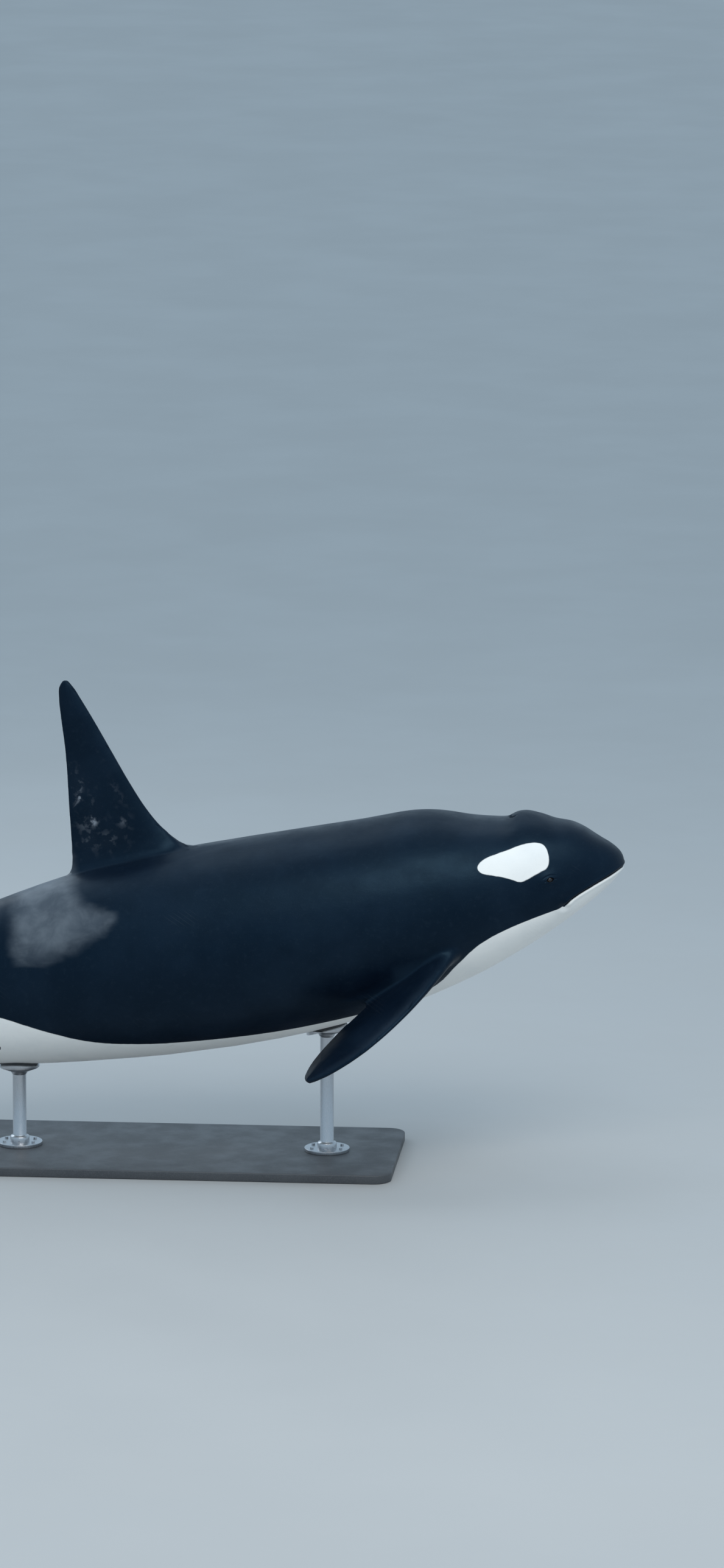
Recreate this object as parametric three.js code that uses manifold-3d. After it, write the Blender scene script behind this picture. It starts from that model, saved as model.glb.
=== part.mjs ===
// A life-size young male orca, as a museum shows it: head raised as it surfaces, on a plain stand.
//
// Body coordinates are used for everything that grows on the animal: "station" runs back from the
// tip of the snout and "level" runs up from the body axis, both as percentages of the body length,
// and "side" runs to the animal's left in millimetres. The spine carries them into the model's
// frame: +X towards the head, +Z up, millimetres, the floor at Z = 0.

import * as THREE from "three";
import { mergeVertices } from "three/addons/utils/BufferGeometryUtils.js";
import Module from "manifold-3d";

const wasm = await Module();
wasm.setup();

// Driving dimensions
const BODY_LENGTH = 6700; // tip of the snout to the notch between the flukes
const SNOUT_HEIGHT = 2080; // tip of the snout above the floor
const GAP = 0.3; // clearance between pieces that touch
const PITCH = 13.5; // degrees that the front of the body is tilted nose-up
const TAIL_PITCH = -4; // degrees at the flukes, where the tail levels out
const BEND_FROM = 53; // stations between which the back bends from one pitch to the other
const BEND_TO = 90;

// Body outline: [station, value], both in percent of the body length
const DORSAL = [
  [0, 0], [0.1, 0.6], [0.5, 1.3], [1, 1.86], [1.7, 2.47], [2.3, 3.05], [3.2, 3.93], [4.2, 4.66],
  [5.7, 5.4], [7, 5.92], [9, 6.46], [11.5, 7], [14, 7.6], [17, 8.4], [20, 9], [25, 9.32], [30, 9.66],
  [36, 10], [42, 10.3], [48, 10.4], [54, 10.1], [60, 9.35], [66, 8.25], [75, 6.5], [84, 4.7],
  [91, 3.3], [96, 2.2], [100, 0.7],
];
// How far the middle of the back stands above that line: the blowhole's mound, the nape behind it
// and the shoulders
const CREST = [
  [0, 0], [4, 0.03], [5.7, -0.1], [7, 0.18], [8.2, 0.4], [9.1, 0.27], [10.3, -0.26], [11.8, -0.27],
  [13.8, -0.12], [15.7, 0.13], [17.5, 0.25], [20, 0.15], [24, 0], [40, 0], [100, 0],
];
const CREST_SHARPNESS = 5; // power of the cosine by which the crest fades down the sides
const VENTRAL = [
  [0, 0], [0.1, -0.5], [0.5, -1.05], [1.2, -1.65], [2.3, -2.35], [4, -3.25], [6.3, -4.35], [9, -5.5],
  [12.5, -6.8], [17, -8.15], [25, -9.65], [36, -10.2], [48, -9.5], [60, -7.9], [72, -5.8], [82, -4.2],
  [91, -2.8], [96, -1.9], [100, -0.6],
];
const HALF_WIDTH = [
  [0, 0], [0.25, 1.15], [1, 2.2], [2.3, 3.2], [4, 4.15], [6.3, 5.15], [9, 6.1], [12.5, 7], [17, 7.9],
  [25, 8.9], [36, 9.2], [48, 8.6], [60, 7], [72, 4.8], [82, 2.95], [91, 1.65], [96, 1.15], [100, 0.45],
];
const WIDEST_LEVEL = [
  [0, -0.1], [4, -0.4], [9, -0.7], [17, -0.9], [36, -0.6], [60, 0.4], [82, 0.3], [100, 0],
];
const SQUARENESS = [
  [0, 2], [2, 2.35], [8, 2.25], [17, 2.1], [40, 2.05], [65, 1.95], [82, 1.75], [100, 1.8],
]; // power of the section's curve: 2 is an ellipse
const BODY_STATIONS = 62;
const BODY_SIDES = 34;
const STATION_POWER = 1.6; // crowds the sections towards the snout

// Where the body is parted, by station
const HEAD_END = 16;
const SHOULDERS_END = 38;
const MIDBODY_END = 60.8;
const HINDBODY_END = 80;

// Mouth: [station, level] along the lips, from the snout to the corner of the gape
const MOUTH = [[0.42, -0.62], [1.5, -0.87], [3, -1.22], [4.6, -1.66], [5.6, -2.05], [6.3, -2.5]];
const JAW_BACK = [9, -8]; // where the lower jaw meets the throat underneath
const LIP_RADIUS = 22;
const LIP_INSET = 14;
const MOUTH_GROOVE = 7;
const LIP_STEPS = 22;

// Eyes and their lids
const EYE_STATION = 6.95;
const EYE_LEVEL = 0.55;
const EYE_RADIUS = 29;
const EYE_INSET = 20;
const LID_RADIUS = 31;
const LID_THICKNESS = 9;
const LID_SQUINT = 0.7; // height of the opening over its length

// Blowhole
const BLOWHOLE_STATION = 9.2;
const BLOWHOLE_RADIUS = 62;
const BLOWHOLE_LENGTHWISE = 0.8; // its size along and across the body over that radius
const BLOWHOLE_CROSSWISE = 1.1;
const BLOWHOLE_DEPTH = 34;
const BLOWHOLE_GROOVE = 8;
const BLOWHOLE_TURN = 80; // degrees that the slit reaches round to either side

// White and grey markings. Outlines are [station, height], the height running from -1 at the
// belly line through 0 where the body is widest to 1 at the back line.
const VENTRAL_WHITE = [
  [6.5, -0.5], [9, -0.42], [12, -0.4], [15, -0.46], [17.5, -0.62], [20, -0.8], [24, -0.87], [32, -0.85],
  [42, -0.8], [50, -0.74], [55, -0.64], [59, -0.45], [63, -0.22], [67.5, -0.03], [72, 0.1], [75, 0.12],
  [76.4, 0.03], [75, -0.08], [71, -0.24], [67, -0.44], [63.6, -0.66], [65, -0.8], [69, -0.88], [73, -0.95],
  [76, -1.1],
];
const EYE_PATCH = [
  [6.66, 2.4], [6.62, 2.91], [6.71, 3.49], [6.99, 3.92], [7.6, 4.22], [8.8, 4.39], [10.3, 4.3],
  [11.85, 4.17], [12.6, 4.07], [13.2, 3.8], [13.48, 3.45], [13.35, 3.03], [12.9, 2.7], [12.16, 2.38],
  [11.1, 1.93], [10.4, 1.5], [9.95, 1.21], [9.55, 1.12], [9.1, 1.18], [8.2, 1.4], [7.5, 1.58],
  [7.05, 1.72], [6.78, 2.03],
]; // [station, level]
const SADDLE = [
  [49.5, 0.62], [52.5, 0.78], [54.2, 1.15], [57.5, 1.15], [60.2, 0.8], [60.3, 0.5], [57.5, 0.36],
  [54, 0.42], [51, 0.5],
];
const MARKING_DEPTH = 24; // how deep the eye patches and the saddle are let into the body

// Dorsal fin: [station, level] along each edge, from inside the back to the tip
const DORSAL_FRONT = [
  [39.4, 8], [40.9, 10], [42.4, 11.3], [43.7, 12.8], [44.8, 15], [45.8, 17.9], [46.75, 21.2],
  [47.75, 24.7], [48.5, 27.1], [48.95, 28.4], [49.55, 29.3],
];
const DORSAL_BACK = [
  [54.4, 8], [53.9, 10.4], [53.1, 12.2], [52.65, 14.4], [52.2, 17], [51.65, 19.9], [51.2, 22.7],
  [50.9, 25.4], [50.6, 27.6], [50.25, 28.8], [49.55, 29.3],
];
const DORSAL_HALF_THICKNESS = 52;
const DORSAL_TAPER = 0.8; // share of the thickness lost by the tip

// Flippers: [distance out along the paddle, distance back across it], from inside the body to the tip
const FLIPPER_FRONT = [
  [-300, -150], [0, -185], [230, -215], [520, -200], [790, -115], [980, 30], [1068, 170], [1078, 240],
];
const FLIPPER_BACK = [
  [-300, 170], [0, 190], [170, 262], [400, 350], [680, 390], [890, 378], [1030, 315], [1078, 240],
];
const FLIPPER_HALF_THICKNESS = 48;
const FLIPPER_TAPER = 0.72;
const FLIPPER_STATION = 20.5;
const FLIPPER_LEVEL = -5.3;
const FLIPPER_SWEEP = 42; // degrees back from straight out
const FLIPPER_DROOP = 34; // degrees down from level
const FLIPPER_TWIST = 14; // degrees that the back edge is turned up

// Flukes: [side in millimetres, station] along each edge, from inside the tail to the tip
const FLUKE_FRONT = [
  [0, 90], [80, 91.6], [260, 92.9], [480, 94.8], [690, 97], [870, 99.5], [950, 101.6],
];
const FLUKE_BACK = [
  [0, 99.6], [60, 100.4], [190, 101.5], [420, 101.7], [650, 101.1], [850, 101.3], [950, 101.6],
];
const FLUKE_HALF_THICKNESS = 44;
const FLUKE_TAPER = 0.85;
const FLUKE_CURL = 60; // how far the tips bend down

// Stand
const BASE = { length: 3000, width: 1300, thickness: 60, corner: 120, bevel: 8 };
const ROD_RADIUS = 45;
const ROD_STATIONS = { front: 32, rear: 63 };
const ROD_LEVEL = -8; // where the rods' stations are measured
const FLANGE = { radius: 150, thickness: 22 };
const PAD = { radius: 135, depth: 60 };

// Sides of the round pieces, and steps along the long ones
const ROUND_SIDES = 32;
const BLADE_LEVELS = 18;
const BLADE_CHORD_STEPS = 7;
const BLADE_SWELL = 2.6; // makes a blade's section as thick as it is said to be a third of the way back
const BLADE_BACK_EDGE = 0.06; // share of that thickness left at the back edge
const BLADE_CROWDING = 1.5; // power that crowds a blade's points towards its front edge
const ABOVE = 20; // levels and stations that lie outside the body
const BELOW = -14;
const AHEAD = -3;
const BEHIND = 101;
const BEYOND = 2000; // millimetres outside the animal on either side

// Smooth curve through [x, y] knots: a cubic between each pair, its slopes from the neighbours
function through(knots, x) {
  const last = knots.length - 1;
  let i = 0;
  while (i < last - 1 && x > knots[i + 1][0]) i += 1;
  const slope = (k) => {
    const a = knots[Math.max(0, k - 1)];
    const b = knots[Math.min(last, k + 1)];
    return (b[1] - a[1]) / (b[0] - a[0]);
  };
  const [x0, y0] = knots[i];
  const [x1, y1] = knots[i + 1];
  const w = x1 - x0;
  const t = (x - x0) / w;
  return (
    y0 * (1 + 2 * t) * (1 - t) ** 2 + w * slope(i) * t * (1 - t) ** 2 +
    y1 * t * t * (3 - 2 * t) + w * slope(i + 1) * t * t * (t - 1)
  );
}

// The outlines rise as the square root of the station at the snout, so that it is round
const rooted = (knots) => knots.map(([s, v]) => [Math.sqrt(s), v]);
const dorsalKnots = rooted(DORSAL);
const ventralKnots = rooted(VENTRAL);
const widthKnots = rooted(HALF_WIDTH);

const mm = (share) => (share / 100) * BODY_LENGTH;
const percent = (length) => (length / BODY_LENGTH) * 100;
const radians = THREE.MathUtils.degToRad;
const smoothstep = THREE.MathUtils.smoothstep;

// Spine
function pitchAt(station) {
  return radians(PITCH + (TAIL_PITCH - PITCH) * smoothstep(station, BEND_FROM, BEND_TO));
}

const SPINE_STEP = 0.25;
const SPINE_END = 104; // behind the flukes
const spine = [new THREE.Vector2(0, SNOUT_HEIGHT)];
for (let s = 0; s < SPINE_END; s += SPINE_STEP) {
  const pitch = pitchAt(s + SPINE_STEP / 2);
  const step = new THREE.Vector2(-Math.cos(pitch), -Math.sin(pitch)).multiplyScalar(mm(SPINE_STEP));
  spine.push(spine.at(-1).clone().add(step));
}

// Body coordinates to the model's frame
function place(station, side, level) {
  const at = Math.max(0, station / SPINE_STEP);
  const i = Math.min(spine.length - 2, Math.floor(at));
  const axis = spine[i].clone().lerp(spine[i + 1], at - i);
  const pitch = pitchAt(station);
  const ahead = mm(Math.max(0, -station));
  return new THREE.Vector3(
    axis.x + ahead * Math.cos(pitch) - mm(level) * Math.sin(pitch),
    side,
    axis.y + ahead * Math.sin(pitch) + mm(level) * Math.cos(pitch),
  );
}

// Sizes of the body's section at a station, its skin moved out by grow millimetres
function sectionAt(station, grow = 0) {
  const root = Math.sqrt(Math.max(0, station));
  const extra = percent(grow);
  const middle = through(WIDEST_LEVEL, station) * Math.min(1, station);
  return {
    middle,
    up: Math.max(0.01, through(dorsalKnots, root) - middle + extra),
    down: Math.max(0.01, middle - through(ventralKnots, root) + extra),
    half: Math.max(0.01, through(widthKnots, root) + extra),
    crest: through(CREST, station),
    power: through(SQUARENESS, station),
  };
}

// Side, in millimetres, of the skin at a station and level
function skinSide(station, level) {
  const { middle, up, down, half, power } = sectionAt(station);
  const rise = Math.abs(level - middle) / (level > middle ? up : down);
  return mm(half) * Math.max(0, 1 - rise ** power) ** (1 / power);
}

// Level of the back or belly at a station and side, and of a height between -1 and 1
function backLevel(station, side) {
  const { middle, up, half, power, crest } = sectionAt(station);
  const across = Math.min(1, Math.abs(side / mm(half)));
  const plain = middle + up * (1 - across ** power) ** (1 / power);
  return plain + crest * (1 - across ** 2) ** (CREST_SHARPNESS / 2);
}
function levelOf(station, height) {
  const { middle, up, down } = sectionAt(station);
  return middle + height * (height > 0 ? up : down);
}

// Geometry of a closed loft: rings of equally many points, each end closed by a point or a fan
function loft(rings) {
  const sides = Math.max(...rings.map((ring) => ring.length));
  const points = rings.flat();
  const starts = [];
  let count = 0;
  for (const ring of rings) {
    starts.push(count);
    count += ring.length;
  }
  const index = [];
  for (let r = 0; r + 1 < rings.length; r += 1) {
    for (let k = 0; k < sides; k += 1) {
      const next = (k + 1) % sides;
      const [a, b] = rings[r].length > 1 ? [k, next] : [0, 0];
      const [c, d] = rings[r + 1].length > 1 ? [k, next] : [0, 0];
      if (a !== b) index.push(starts[r] + a, starts[r + 1] + c, starts[r] + b);
      if (c !== d) index.push(starts[r] + b, starts[r + 1] + c, starts[r + 1] + d);
    }
  }
  for (const [r, flip] of [[0, false], [rings.length - 1, true]]) {
    if (rings[r].length === 1) continue;
    const centre = rings[r].reduce((sum, p) => sum.add(p), new THREE.Vector3()).divideScalar(sides);
    points.push(centre);
    for (let k = 0; k < sides; k += 1) {
      const edge = [starts[r] + k, starts[r] + ((k + 1) % sides)];
      index.push(points.length - 1, ...(flip ? edge.reverse() : edge));
    }
  }
  return new THREE.BufferGeometry().setFromPoints(points).setIndex(index);
}

// A closed geometry as a manifold-3d solid, facing out, and back again
function solid(geometry) {
  const bare = new THREE.BufferGeometry();
  bare.setAttribute("position", geometry.getAttribute("position"));
  if (geometry.index) bare.setIndex(geometry.index);
  const merged = mergeVertices(bare, 1e-3);
  const make = (triangles) =>
    new wasm.Manifold(
      new wasm.Mesh({
        numProp: 3,
        vertProperties: Float32Array.from(merged.attributes.position.array),
        triVerts: Uint32Array.from(triangles),
      }),
    );
  const made = make(merged.index.array);
  return made.volume() > 0 ? made : make(Array.from(merged.index.array).reverse());
}

function geometryOf(shape) {
  const mesh = shape.getMesh();
  const indexed = new THREE.BufferGeometry();
  indexed.setAttribute("position", new THREE.BufferAttribute(Float32Array.from(mesh.vertProperties), 3));
  indexed.setIndex(new THREE.BufferAttribute(Uint32Array.from(mesh.triVerts), 1));
  const flat = indexed.toNonIndexed();
  flat.computeVertexNormals();
  return flat;
}

// The largest closed piece of a solid, without the slivers that a cut may leave
function largest(shape) {
  return shape.decompose().reduce((best, piece) => (piece.volume() > best.volume() ? piece : best));
}

// The whole body, its skin moved out by grow millimetres
function wholeBody(grow = 0) {
  const rings = [[place(0, 0, 0)]];
  for (let i = 1; i <= BODY_STATIONS; i += 1) {
    const station = 100 * (i / BODY_STATIONS) ** STATION_POWER;
    const { middle, up, down, half, power, crest } = sectionAt(station, grow);
    const ring = [];
    for (let k = 0; k < BODY_SIDES; k += 1) {
      const turn = (2 * Math.PI * k) / BODY_SIDES;
      const rounded = (v) => Math.sign(v) * Math.abs(v) ** (2 / power);
      const across = rounded(Math.sin(turn));
      const rise = rounded(Math.cos(turn));
      const raised = crest * Math.max(0, Math.cos(turn)) ** CREST_SHARPNESS;
      const level = middle + rise * (rise > 0 ? up : down) + raised;
      ring.push(place(station, mm(half) * across, level));
    }
    rings.push(ring);
  }
  return solid(loft(rings));
}

// Everything inside a side-view outline of [station, level] points, from one side to the other,
// moved by a small shift in X and Z
function sideView(outline, from = -BEYOND, to = BEYOND, [dx, dz] = [0, 0]) {
  const corners = outline.map(([station, level]) => {
    const p = place(station, 0, level);
    return new THREE.Vector2(p.x, p.z);
  });
  const shape = new THREE.Shape(corners);
  const prism = new THREE.ExtrudeGeometry(shape, { depth: to - from, bevelEnabled: false });
  prism.rotateX(Math.PI / 2);
  prism.translate(dx, to, dz);
  return solid(prism);
}

// The same with a gap's width around it
function spaceFor(outline, from = -BEYOND, to = BEYOND) {
  const shifts = [[GAP, 0], [-GAP, 0], [0, GAP], [0, -GAP]];
  return shifts.reduce(
    (space, shift) => space.add(sideView(outline, from, to, shift)),
    sideView(outline, from - GAP, to + GAP),
  );
}

// Points along a smooth closed or open curve through [x, y] knots
function smooth(knots, count, closed = false) {
  const path = new THREE.CatmullRomCurve3(
    knots.map(([x, y]) => new THREE.Vector3(x, y, 0)), closed, "centripetal");
  const points = path.getPoints(count);
  if (closed) points.pop();
  return points.map((p) => [p.x, p.y]);
}

// A slice of the body between two stations, as a side-view outline that reaches past back and belly
function slice(from, to) {
  const steps = 12;
  const edge = Array.from({ length: steps + 1 }, (_, i) => from + ((to - from) * i) / steps);
  return sideView([...edge.map((s) => [s, ABOVE]), ...edge.reverse().map((s) => [s, BELOW])]);
}

// A round bar along a path
function bar(path, radius, steps, sides = 8) {
  const round = new THREE.Shape();
  round.absarc(0, 0, radius, 0, 2 * Math.PI);
  const ring = new THREE.Shape(round.getPoints(sides / 4).slice(0, sides));
  return solid(new THREE.ExtrudeGeometry(ring, { steps, extrudePath: path, bevelEnabled: false }));
}

// Frame on the skin of one side: the point, and axes out of the skin, back along it and up it
function skinFrame(station, level, hand) {
  const at = (s, l) => place(s, hand * skinSide(s, l), l);
  const point = at(station, level);
  const back = at(station + 0.2, level).sub(at(station - 0.2, level)).normalize();
  const up = at(station, level + 0.2).sub(at(station, level - 0.2)).normalize();
  const out = new THREE.Vector3().crossVectors(back, up).normalize();
  if (out.y * hand < 0) out.negate();
  up.crossVectors(out, back).normalize();
  return { point, matrix: new THREE.Matrix4().makeBasis(back, up, out), out };
}

// A thin blade between two edges that meet at its tip. Each edge runs from root to tip as [a, b]
// points in the blade's plane; half gives half its thickness, and carry puts (a, b, thickness) in place.
function blade(frontEdge, backEdge, half, carry) {
  const front = smooth(frontEdge, BLADE_LEVELS);
  const back = smooth(backEdge, BLADE_LEVELS);
  const rings = [];
  for (let i = 0; i < BLADE_LEVELS; i += 1) {
    const ring = [];
    const height = half(i / BLADE_LEVELS);
    const edge = (across, face) => {
      const swell = BLADE_SWELL * Math.sqrt(across) * (1 - across) + BLADE_BACK_EDGE * across;
      const a = front[i][0] + across * (back[i][0] - front[i][0]);
      const b = front[i][1] + across * (back[i][1] - front[i][1]);
      ring.push(carry(a, b, face * height * swell));
    };
    const share = (k) => (k / BLADE_CHORD_STEPS) ** BLADE_CROWDING;
    for (let k = 0; k <= BLADE_CHORD_STEPS; k += 1) edge(share(k), 1);
    for (let k = BLADE_CHORD_STEPS; k > 0; k -= 1) edge(share(k), -1);
    rings.push(ring);
  }
  const [a, b] = front.at(-1);
  rings.push([carry(a, b, 0)]);
  return solid(loft(rings));
}

const whole = wholeBody();
const grown = wholeBody(GAP);
const outside = wholeBody(MARKING_DEPTH);

// Mouth, lids and blowhole
const mouthLine = smooth(MOUTH, 14);
const onLips = (hand, inset) =>
  mouthLine.map(([s, l]) => place(s, hand * Math.max(0, skinSide(s, l) - inset), l));
function lipsBar(radius, inset, steps) {
  const path = [...onLips(-1, inset).reverse(), ...onLips(1, inset).slice(1)];
  return bar(new THREE.CatmullRomCurve3(path), radius, steps);
}

function eyeAt(hand) {
  const { point, matrix, out } = skinFrame(EYE_STATION, EYE_LEVEL, hand);
  const ball = (radius) => {
    const shape = new THREE.SphereGeometry(radius, 16, 10);
    shape.translate(...point.clone().addScaledVector(out, -EYE_INSET).toArray());
    return solid(shape);
  };
  const lids = new THREE.TorusGeometry(LID_RADIUS, LID_THICKNESS, 6, 18);
  lids.scale(1, LID_SQUINT, 1);
  lids.applyMatrix4(matrix);
  lids.translate(...point.toArray());
  return { ball: ball(EYE_RADIUS), socket: ball(EYE_RADIUS + GAP), lids: solid(lids) };
}

function blowholeBowl(radius) {
  const bowl = new THREE.SphereGeometry(radius, 20, 10);
  bowl.scale(BLOWHOLE_LENGTHWISE, BLOWHOLE_CROSSWISE, BLOWHOLE_DEPTH / BLOWHOLE_RADIUS);
  bowl.rotateY(-radians(PITCH));
  bowl.translate(...place(BLOWHOLE_STATION, 0, backLevel(BLOWHOLE_STATION, 0)).toArray());
  return solid(bowl);
}
function blowholeSlit() {
  const steps = 10;
  const points = [];
  for (let i = 0; i <= steps; i += 1) {
    const turn = radians(BLOWHOLE_TURN * ((2 * i) / steps - 1));
    const back = BLOWHOLE_LENGTHWISE * BLOWHOLE_RADIUS * Math.cos(turn);
    const side = BLOWHOLE_CROSSWISE * BLOWHOLE_RADIUS * Math.sin(turn);
    const station = BLOWHOLE_STATION + percent(back);
    points.push(place(station, side, backLevel(station, side)));
  }
  return bar(new THREE.CatmullRomCurve3(points), BLOWHOLE_GROOVE, steps);
}

const eyes = { right: eyeAt(-1), left: eyeAt(1) };
let flesh = whole
  .add(lipsBar(LIP_RADIUS, LIP_INSET, LIP_STEPS))
  .subtract(lipsBar(MOUTH_GROOVE, 0, LIP_STEPS))
  .subtract(blowholeSlit());
for (const { lids, socket } of Object.values(eyes)) flesh = flesh.add(lids).subtract(socket);

// Side-view outlines of the lower jaw and of the white underside
const halfGap = percent(GAP / 2);
const jawOutline = [
  [AHEAD, MOUTH[0][1]], ...mouthLine, JAW_BACK, [JAW_BACK[0], BELOW], [AHEAD, BELOW],
];
const whiteTop = smooth(VENTRAL_WHITE, 60).map(([s, height]) => [s, levelOf(s, height)]);
const whiteOutline = [
  MOUTH.at(-1), ...whiteTop, [VENTRAL_WHITE.at(-1)[0], BELOW], [JAW_BACK[0], BELOW], JAW_BACK,
];
const jawInside = sideView(jawOutline);
const jawSpace = spaceFor(jawOutline);
const whiteInside = sideView(whiteOutline);
const whiteSpace = spaceFor(whiteOutline);

// A marking let into the body: its own solid, and the pocket that holds it
function marking(outline, from, to) {
  const shell = (depth) => outside.subtract(wholeBody(-depth));
  return {
    solid: shell(MARKING_DEPTH).intersect(whole).intersect(sideView(outline, from, to)),
    pocket: shell(MARKING_DEPTH + GAP).intersect(spaceFor(outline, from, to)),
  };
}
const patchOutline = smooth(EYE_PATCH, 28, true);
const eyePatches = { right: marking(patchOutline, -BEYOND, 0), left: marking(patchOutline, 0, BEYOND) };
const saddle = marking(smooth(SADDLE.map(([s, height]) => [s, levelOf(s, height)]), 28, true));

// Colours, and the meshes of the model
const MATERIALS = {
  black: new THREE.MeshStandardMaterial({ color: 0x11161d, roughness: 0.32, metalness: 0 }),
  white: new THREE.MeshStandardMaterial({ color: 0xf2f3f0, roughness: 0.38, metalness: 0 }),
  grey: new THREE.MeshStandardMaterial({ color: 0x767c83, roughness: 0.42, metalness: 0 }),
  eye: new THREE.MeshStandardMaterial({ color: 0x1c120c, roughness: 0.08, metalness: 0 }),
  plinth: new THREE.MeshStandardMaterial({ color: 0x3a3d41, roughness: 0.6, metalness: 0 }),
  steel: new THREE.MeshStandardMaterial({ color: 0x8d9196, roughness: 0.35, metalness: 0.9 }),
};
const model = new THREE.Group();
function addNode(name, shape, material) {
  const mesh = new THREE.Mesh(geometryOf(largest(shape)), MATERIALS[material]);
  mesh.name = name;
  model.add(mesh);
}

// The body, parted across its length and along its colours
function addBody() {
  const part = (from, to) => flesh.intersect(slice(from + halfGap, to - halfGap));
  const plug = blowholeBowl(BLOWHOLE_RADIUS - GAP);
  const head = part(AHEAD, HEAD_END);
  addNode("lower_jaw", head.intersect(jawInside), "white");
  addNode("throat", head.subtract(jawSpace).intersect(whiteInside), "white");
  addNode("blowhole_plug", head.intersect(plug), "black");
  addNode(
    "head",
    head
      .subtract(jawSpace)
      .subtract(whiteSpace)
      .subtract(blowholeBowl(BLOWHOLE_RADIUS))
      .subtract(eyePatches.right.pocket)
      .subtract(eyePatches.left.pocket),
    "black",
  );
  const shoulders = part(HEAD_END, SHOULDERS_END);
  addNode("shoulders", shoulders.subtract(whiteSpace), "black");
  addNode("chest", shoulders.intersect(whiteInside), "white");
  const midbody = part(SHOULDERS_END, MIDBODY_END);
  addNode("midbody", midbody.subtract(whiteSpace).subtract(saddle.pocket), "black");
  addNode("belly", midbody.intersect(whiteInside), "white");
  const hindbody = part(MIDBODY_END, HINDBODY_END);
  addNode("hindbody", hindbody.subtract(whiteSpace), "black");
  addNode("hindbelly", hindbody.intersect(whiteInside), "white");
  addNode("tail_stock", part(HINDBODY_END, BEHIND), "black");
}

function addMarkings() {
  addNode("eye_patch_right", eyePatches.right.solid, "white");
  addNode("eye_patch_left", eyePatches.left.solid, "white");
  addNode("saddle_patch", saddle.solid, "grey");
}

function addEyes() {
  addNode("eye_right", eyes.right.ball, "eye");
  addNode("eye_left", eyes.left.ball, "eye");
}

function addDorsalFin() {
  const half = (u) => DORSAL_HALF_THICKNESS * (1 - DORSAL_TAPER * u) * (1 + 0.5 * Math.exp(-8 * u));
  const carry = (station, level, out) => place(station, out, level);
  const fin = blade(DORSAL_FRONT, DORSAL_BACK, half, carry);
  addNode("dorsal_fin", fin.subtract(grown), "black");
}

function addFlipper(name, hand) {
  const root = place(FLIPPER_STATION, 0, FLIPPER_LEVEL);
  root.y = hand * skinSide(FLIPPER_STATION, FLIPPER_LEVEL);
  const turns = [-FLIPPER_DROOP, -FLIPPER_TWIST, FLIPPER_SWEEP].map(radians);
  const turn = new THREE.Euler(...turns, "ZXY");
  const half = (u) => FLIPPER_HALF_THICKNESS * (1 - FLIPPER_TAPER * u) * (1 + 0.4 * Math.exp(-7 * u));
  const paddle = blade(FLIPPER_FRONT, FLIPPER_BACK, half, (span, back, out) => {
    const p = new THREE.Vector3(-back, span, out).applyEuler(turn);
    return new THREE.Vector3(p.x, hand * p.y, p.z).add(root);
  });
  addNode(name, paddle.subtract(grown), "black");
}

function addFluke(name, hand) {
  const reach = FLUKE_FRONT.at(-1)[0];
  const half = (u) => FLUKE_HALF_THICKNESS * (1 - FLUKE_TAPER * u);
  const fluke = blade(FLUKE_FRONT, FLUKE_BACK, half, (side, station, out) => {
    const curl = -FLUKE_CURL * (side / reach) ** 2;
    return place(station, hand * Math.max(side, GAP), percent(out + curl));
  });
  addNode(name, fluke.subtract(grown), "black");
}

function addStand() {
  const { length, width, thickness, corner, bevel } = BASE;
  const underside = (station) => place(station, 0, levelOf(station, -1));
  const under = (station) => place(station, 0, ROD_LEVEL).x;
  const rods = Object.entries(ROD_STATIONS).map(([name, station]) => [name, under(station)]);
  const middle = (rods[0][1] + rods[1][1]) / 2;
  const plate = new THREE.Shape();
  const x = length / 2 - bevel - corner;
  const y = width / 2 - bevel - corner;
  plate.absarc(x, y, corner, 0, Math.PI / 2);
  plate.absarc(-x, y, corner, Math.PI / 2, Math.PI);
  plate.absarc(-x, -y, corner, Math.PI, 1.5 * Math.PI);
  plate.absarc(x, -y, corner, 1.5 * Math.PI, 2 * Math.PI);
  const base = new THREE.ExtrudeGeometry(plate, {
    depth: thickness - 2 * bevel,
    bevelThickness: bevel,
    bevelSize: bevel,
    bevelSegments: 1,
    curveSegments: 4,
  });
  base.translate(middle, 0, bevel);
  addNode("stand_base", solid(base), "plinth");

  const upright = (radius, from, to, at) => {
    const shape = new THREE.CylinderGeometry(radius, radius, to - from, ROUND_SIDES);
    shape.rotateX(Math.PI / 2);
    shape.translate(at, 0, (from + to) / 2);
    return solid(shape);
  };
  for (const [name, at] of rods) {
    const belly = underside(ROD_STATIONS[name]).z;
    const flangeTop = thickness + GAP + FLANGE.thickness;
    const padFoot = belly - PAD.depth;
    addNode(`stand_flange_${name}`, upright(FLANGE.radius, thickness + GAP, flangeTop, at), "steel");
    addNode(`stand_rod_${name}`, upright(ROD_RADIUS, flangeTop + GAP, padFoot - GAP, at), "steel");
    const pad = upright(PAD.radius, padFoot, belly + 2 * PAD.depth, at);
    addNode(`stand_pad_${name}`, pad.subtract(grown), "steel");
  }
}

addBody();
addMarkings();
addEyes();
addDorsalFin();
addFlipper("flipper_right", -1);
addFlipper("flipper_left", 1);
addFluke("fluke_right", -1);
addFluke("fluke_left", 1);
addStand();

// The origin is on the floor, under the middle of the whole
const box = new THREE.Box3().setFromObject(model);
model.position.x = -(box.min.x + box.max.x) / 2;

export default model;
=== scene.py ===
# A life-size young male orca on a display stand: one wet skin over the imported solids, glossy eyes
# behind lids, and a painted base with steel rods.
#
# Body coordinates: "station" runs back from the tip of the snout and "level" runs up from the body
# axis, both as percentages of the body length; "side" runs to the animal's left in metres.

import math

import bmesh
import bpy
import numpy as np
from mathutils import Matrix, Vector


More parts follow.
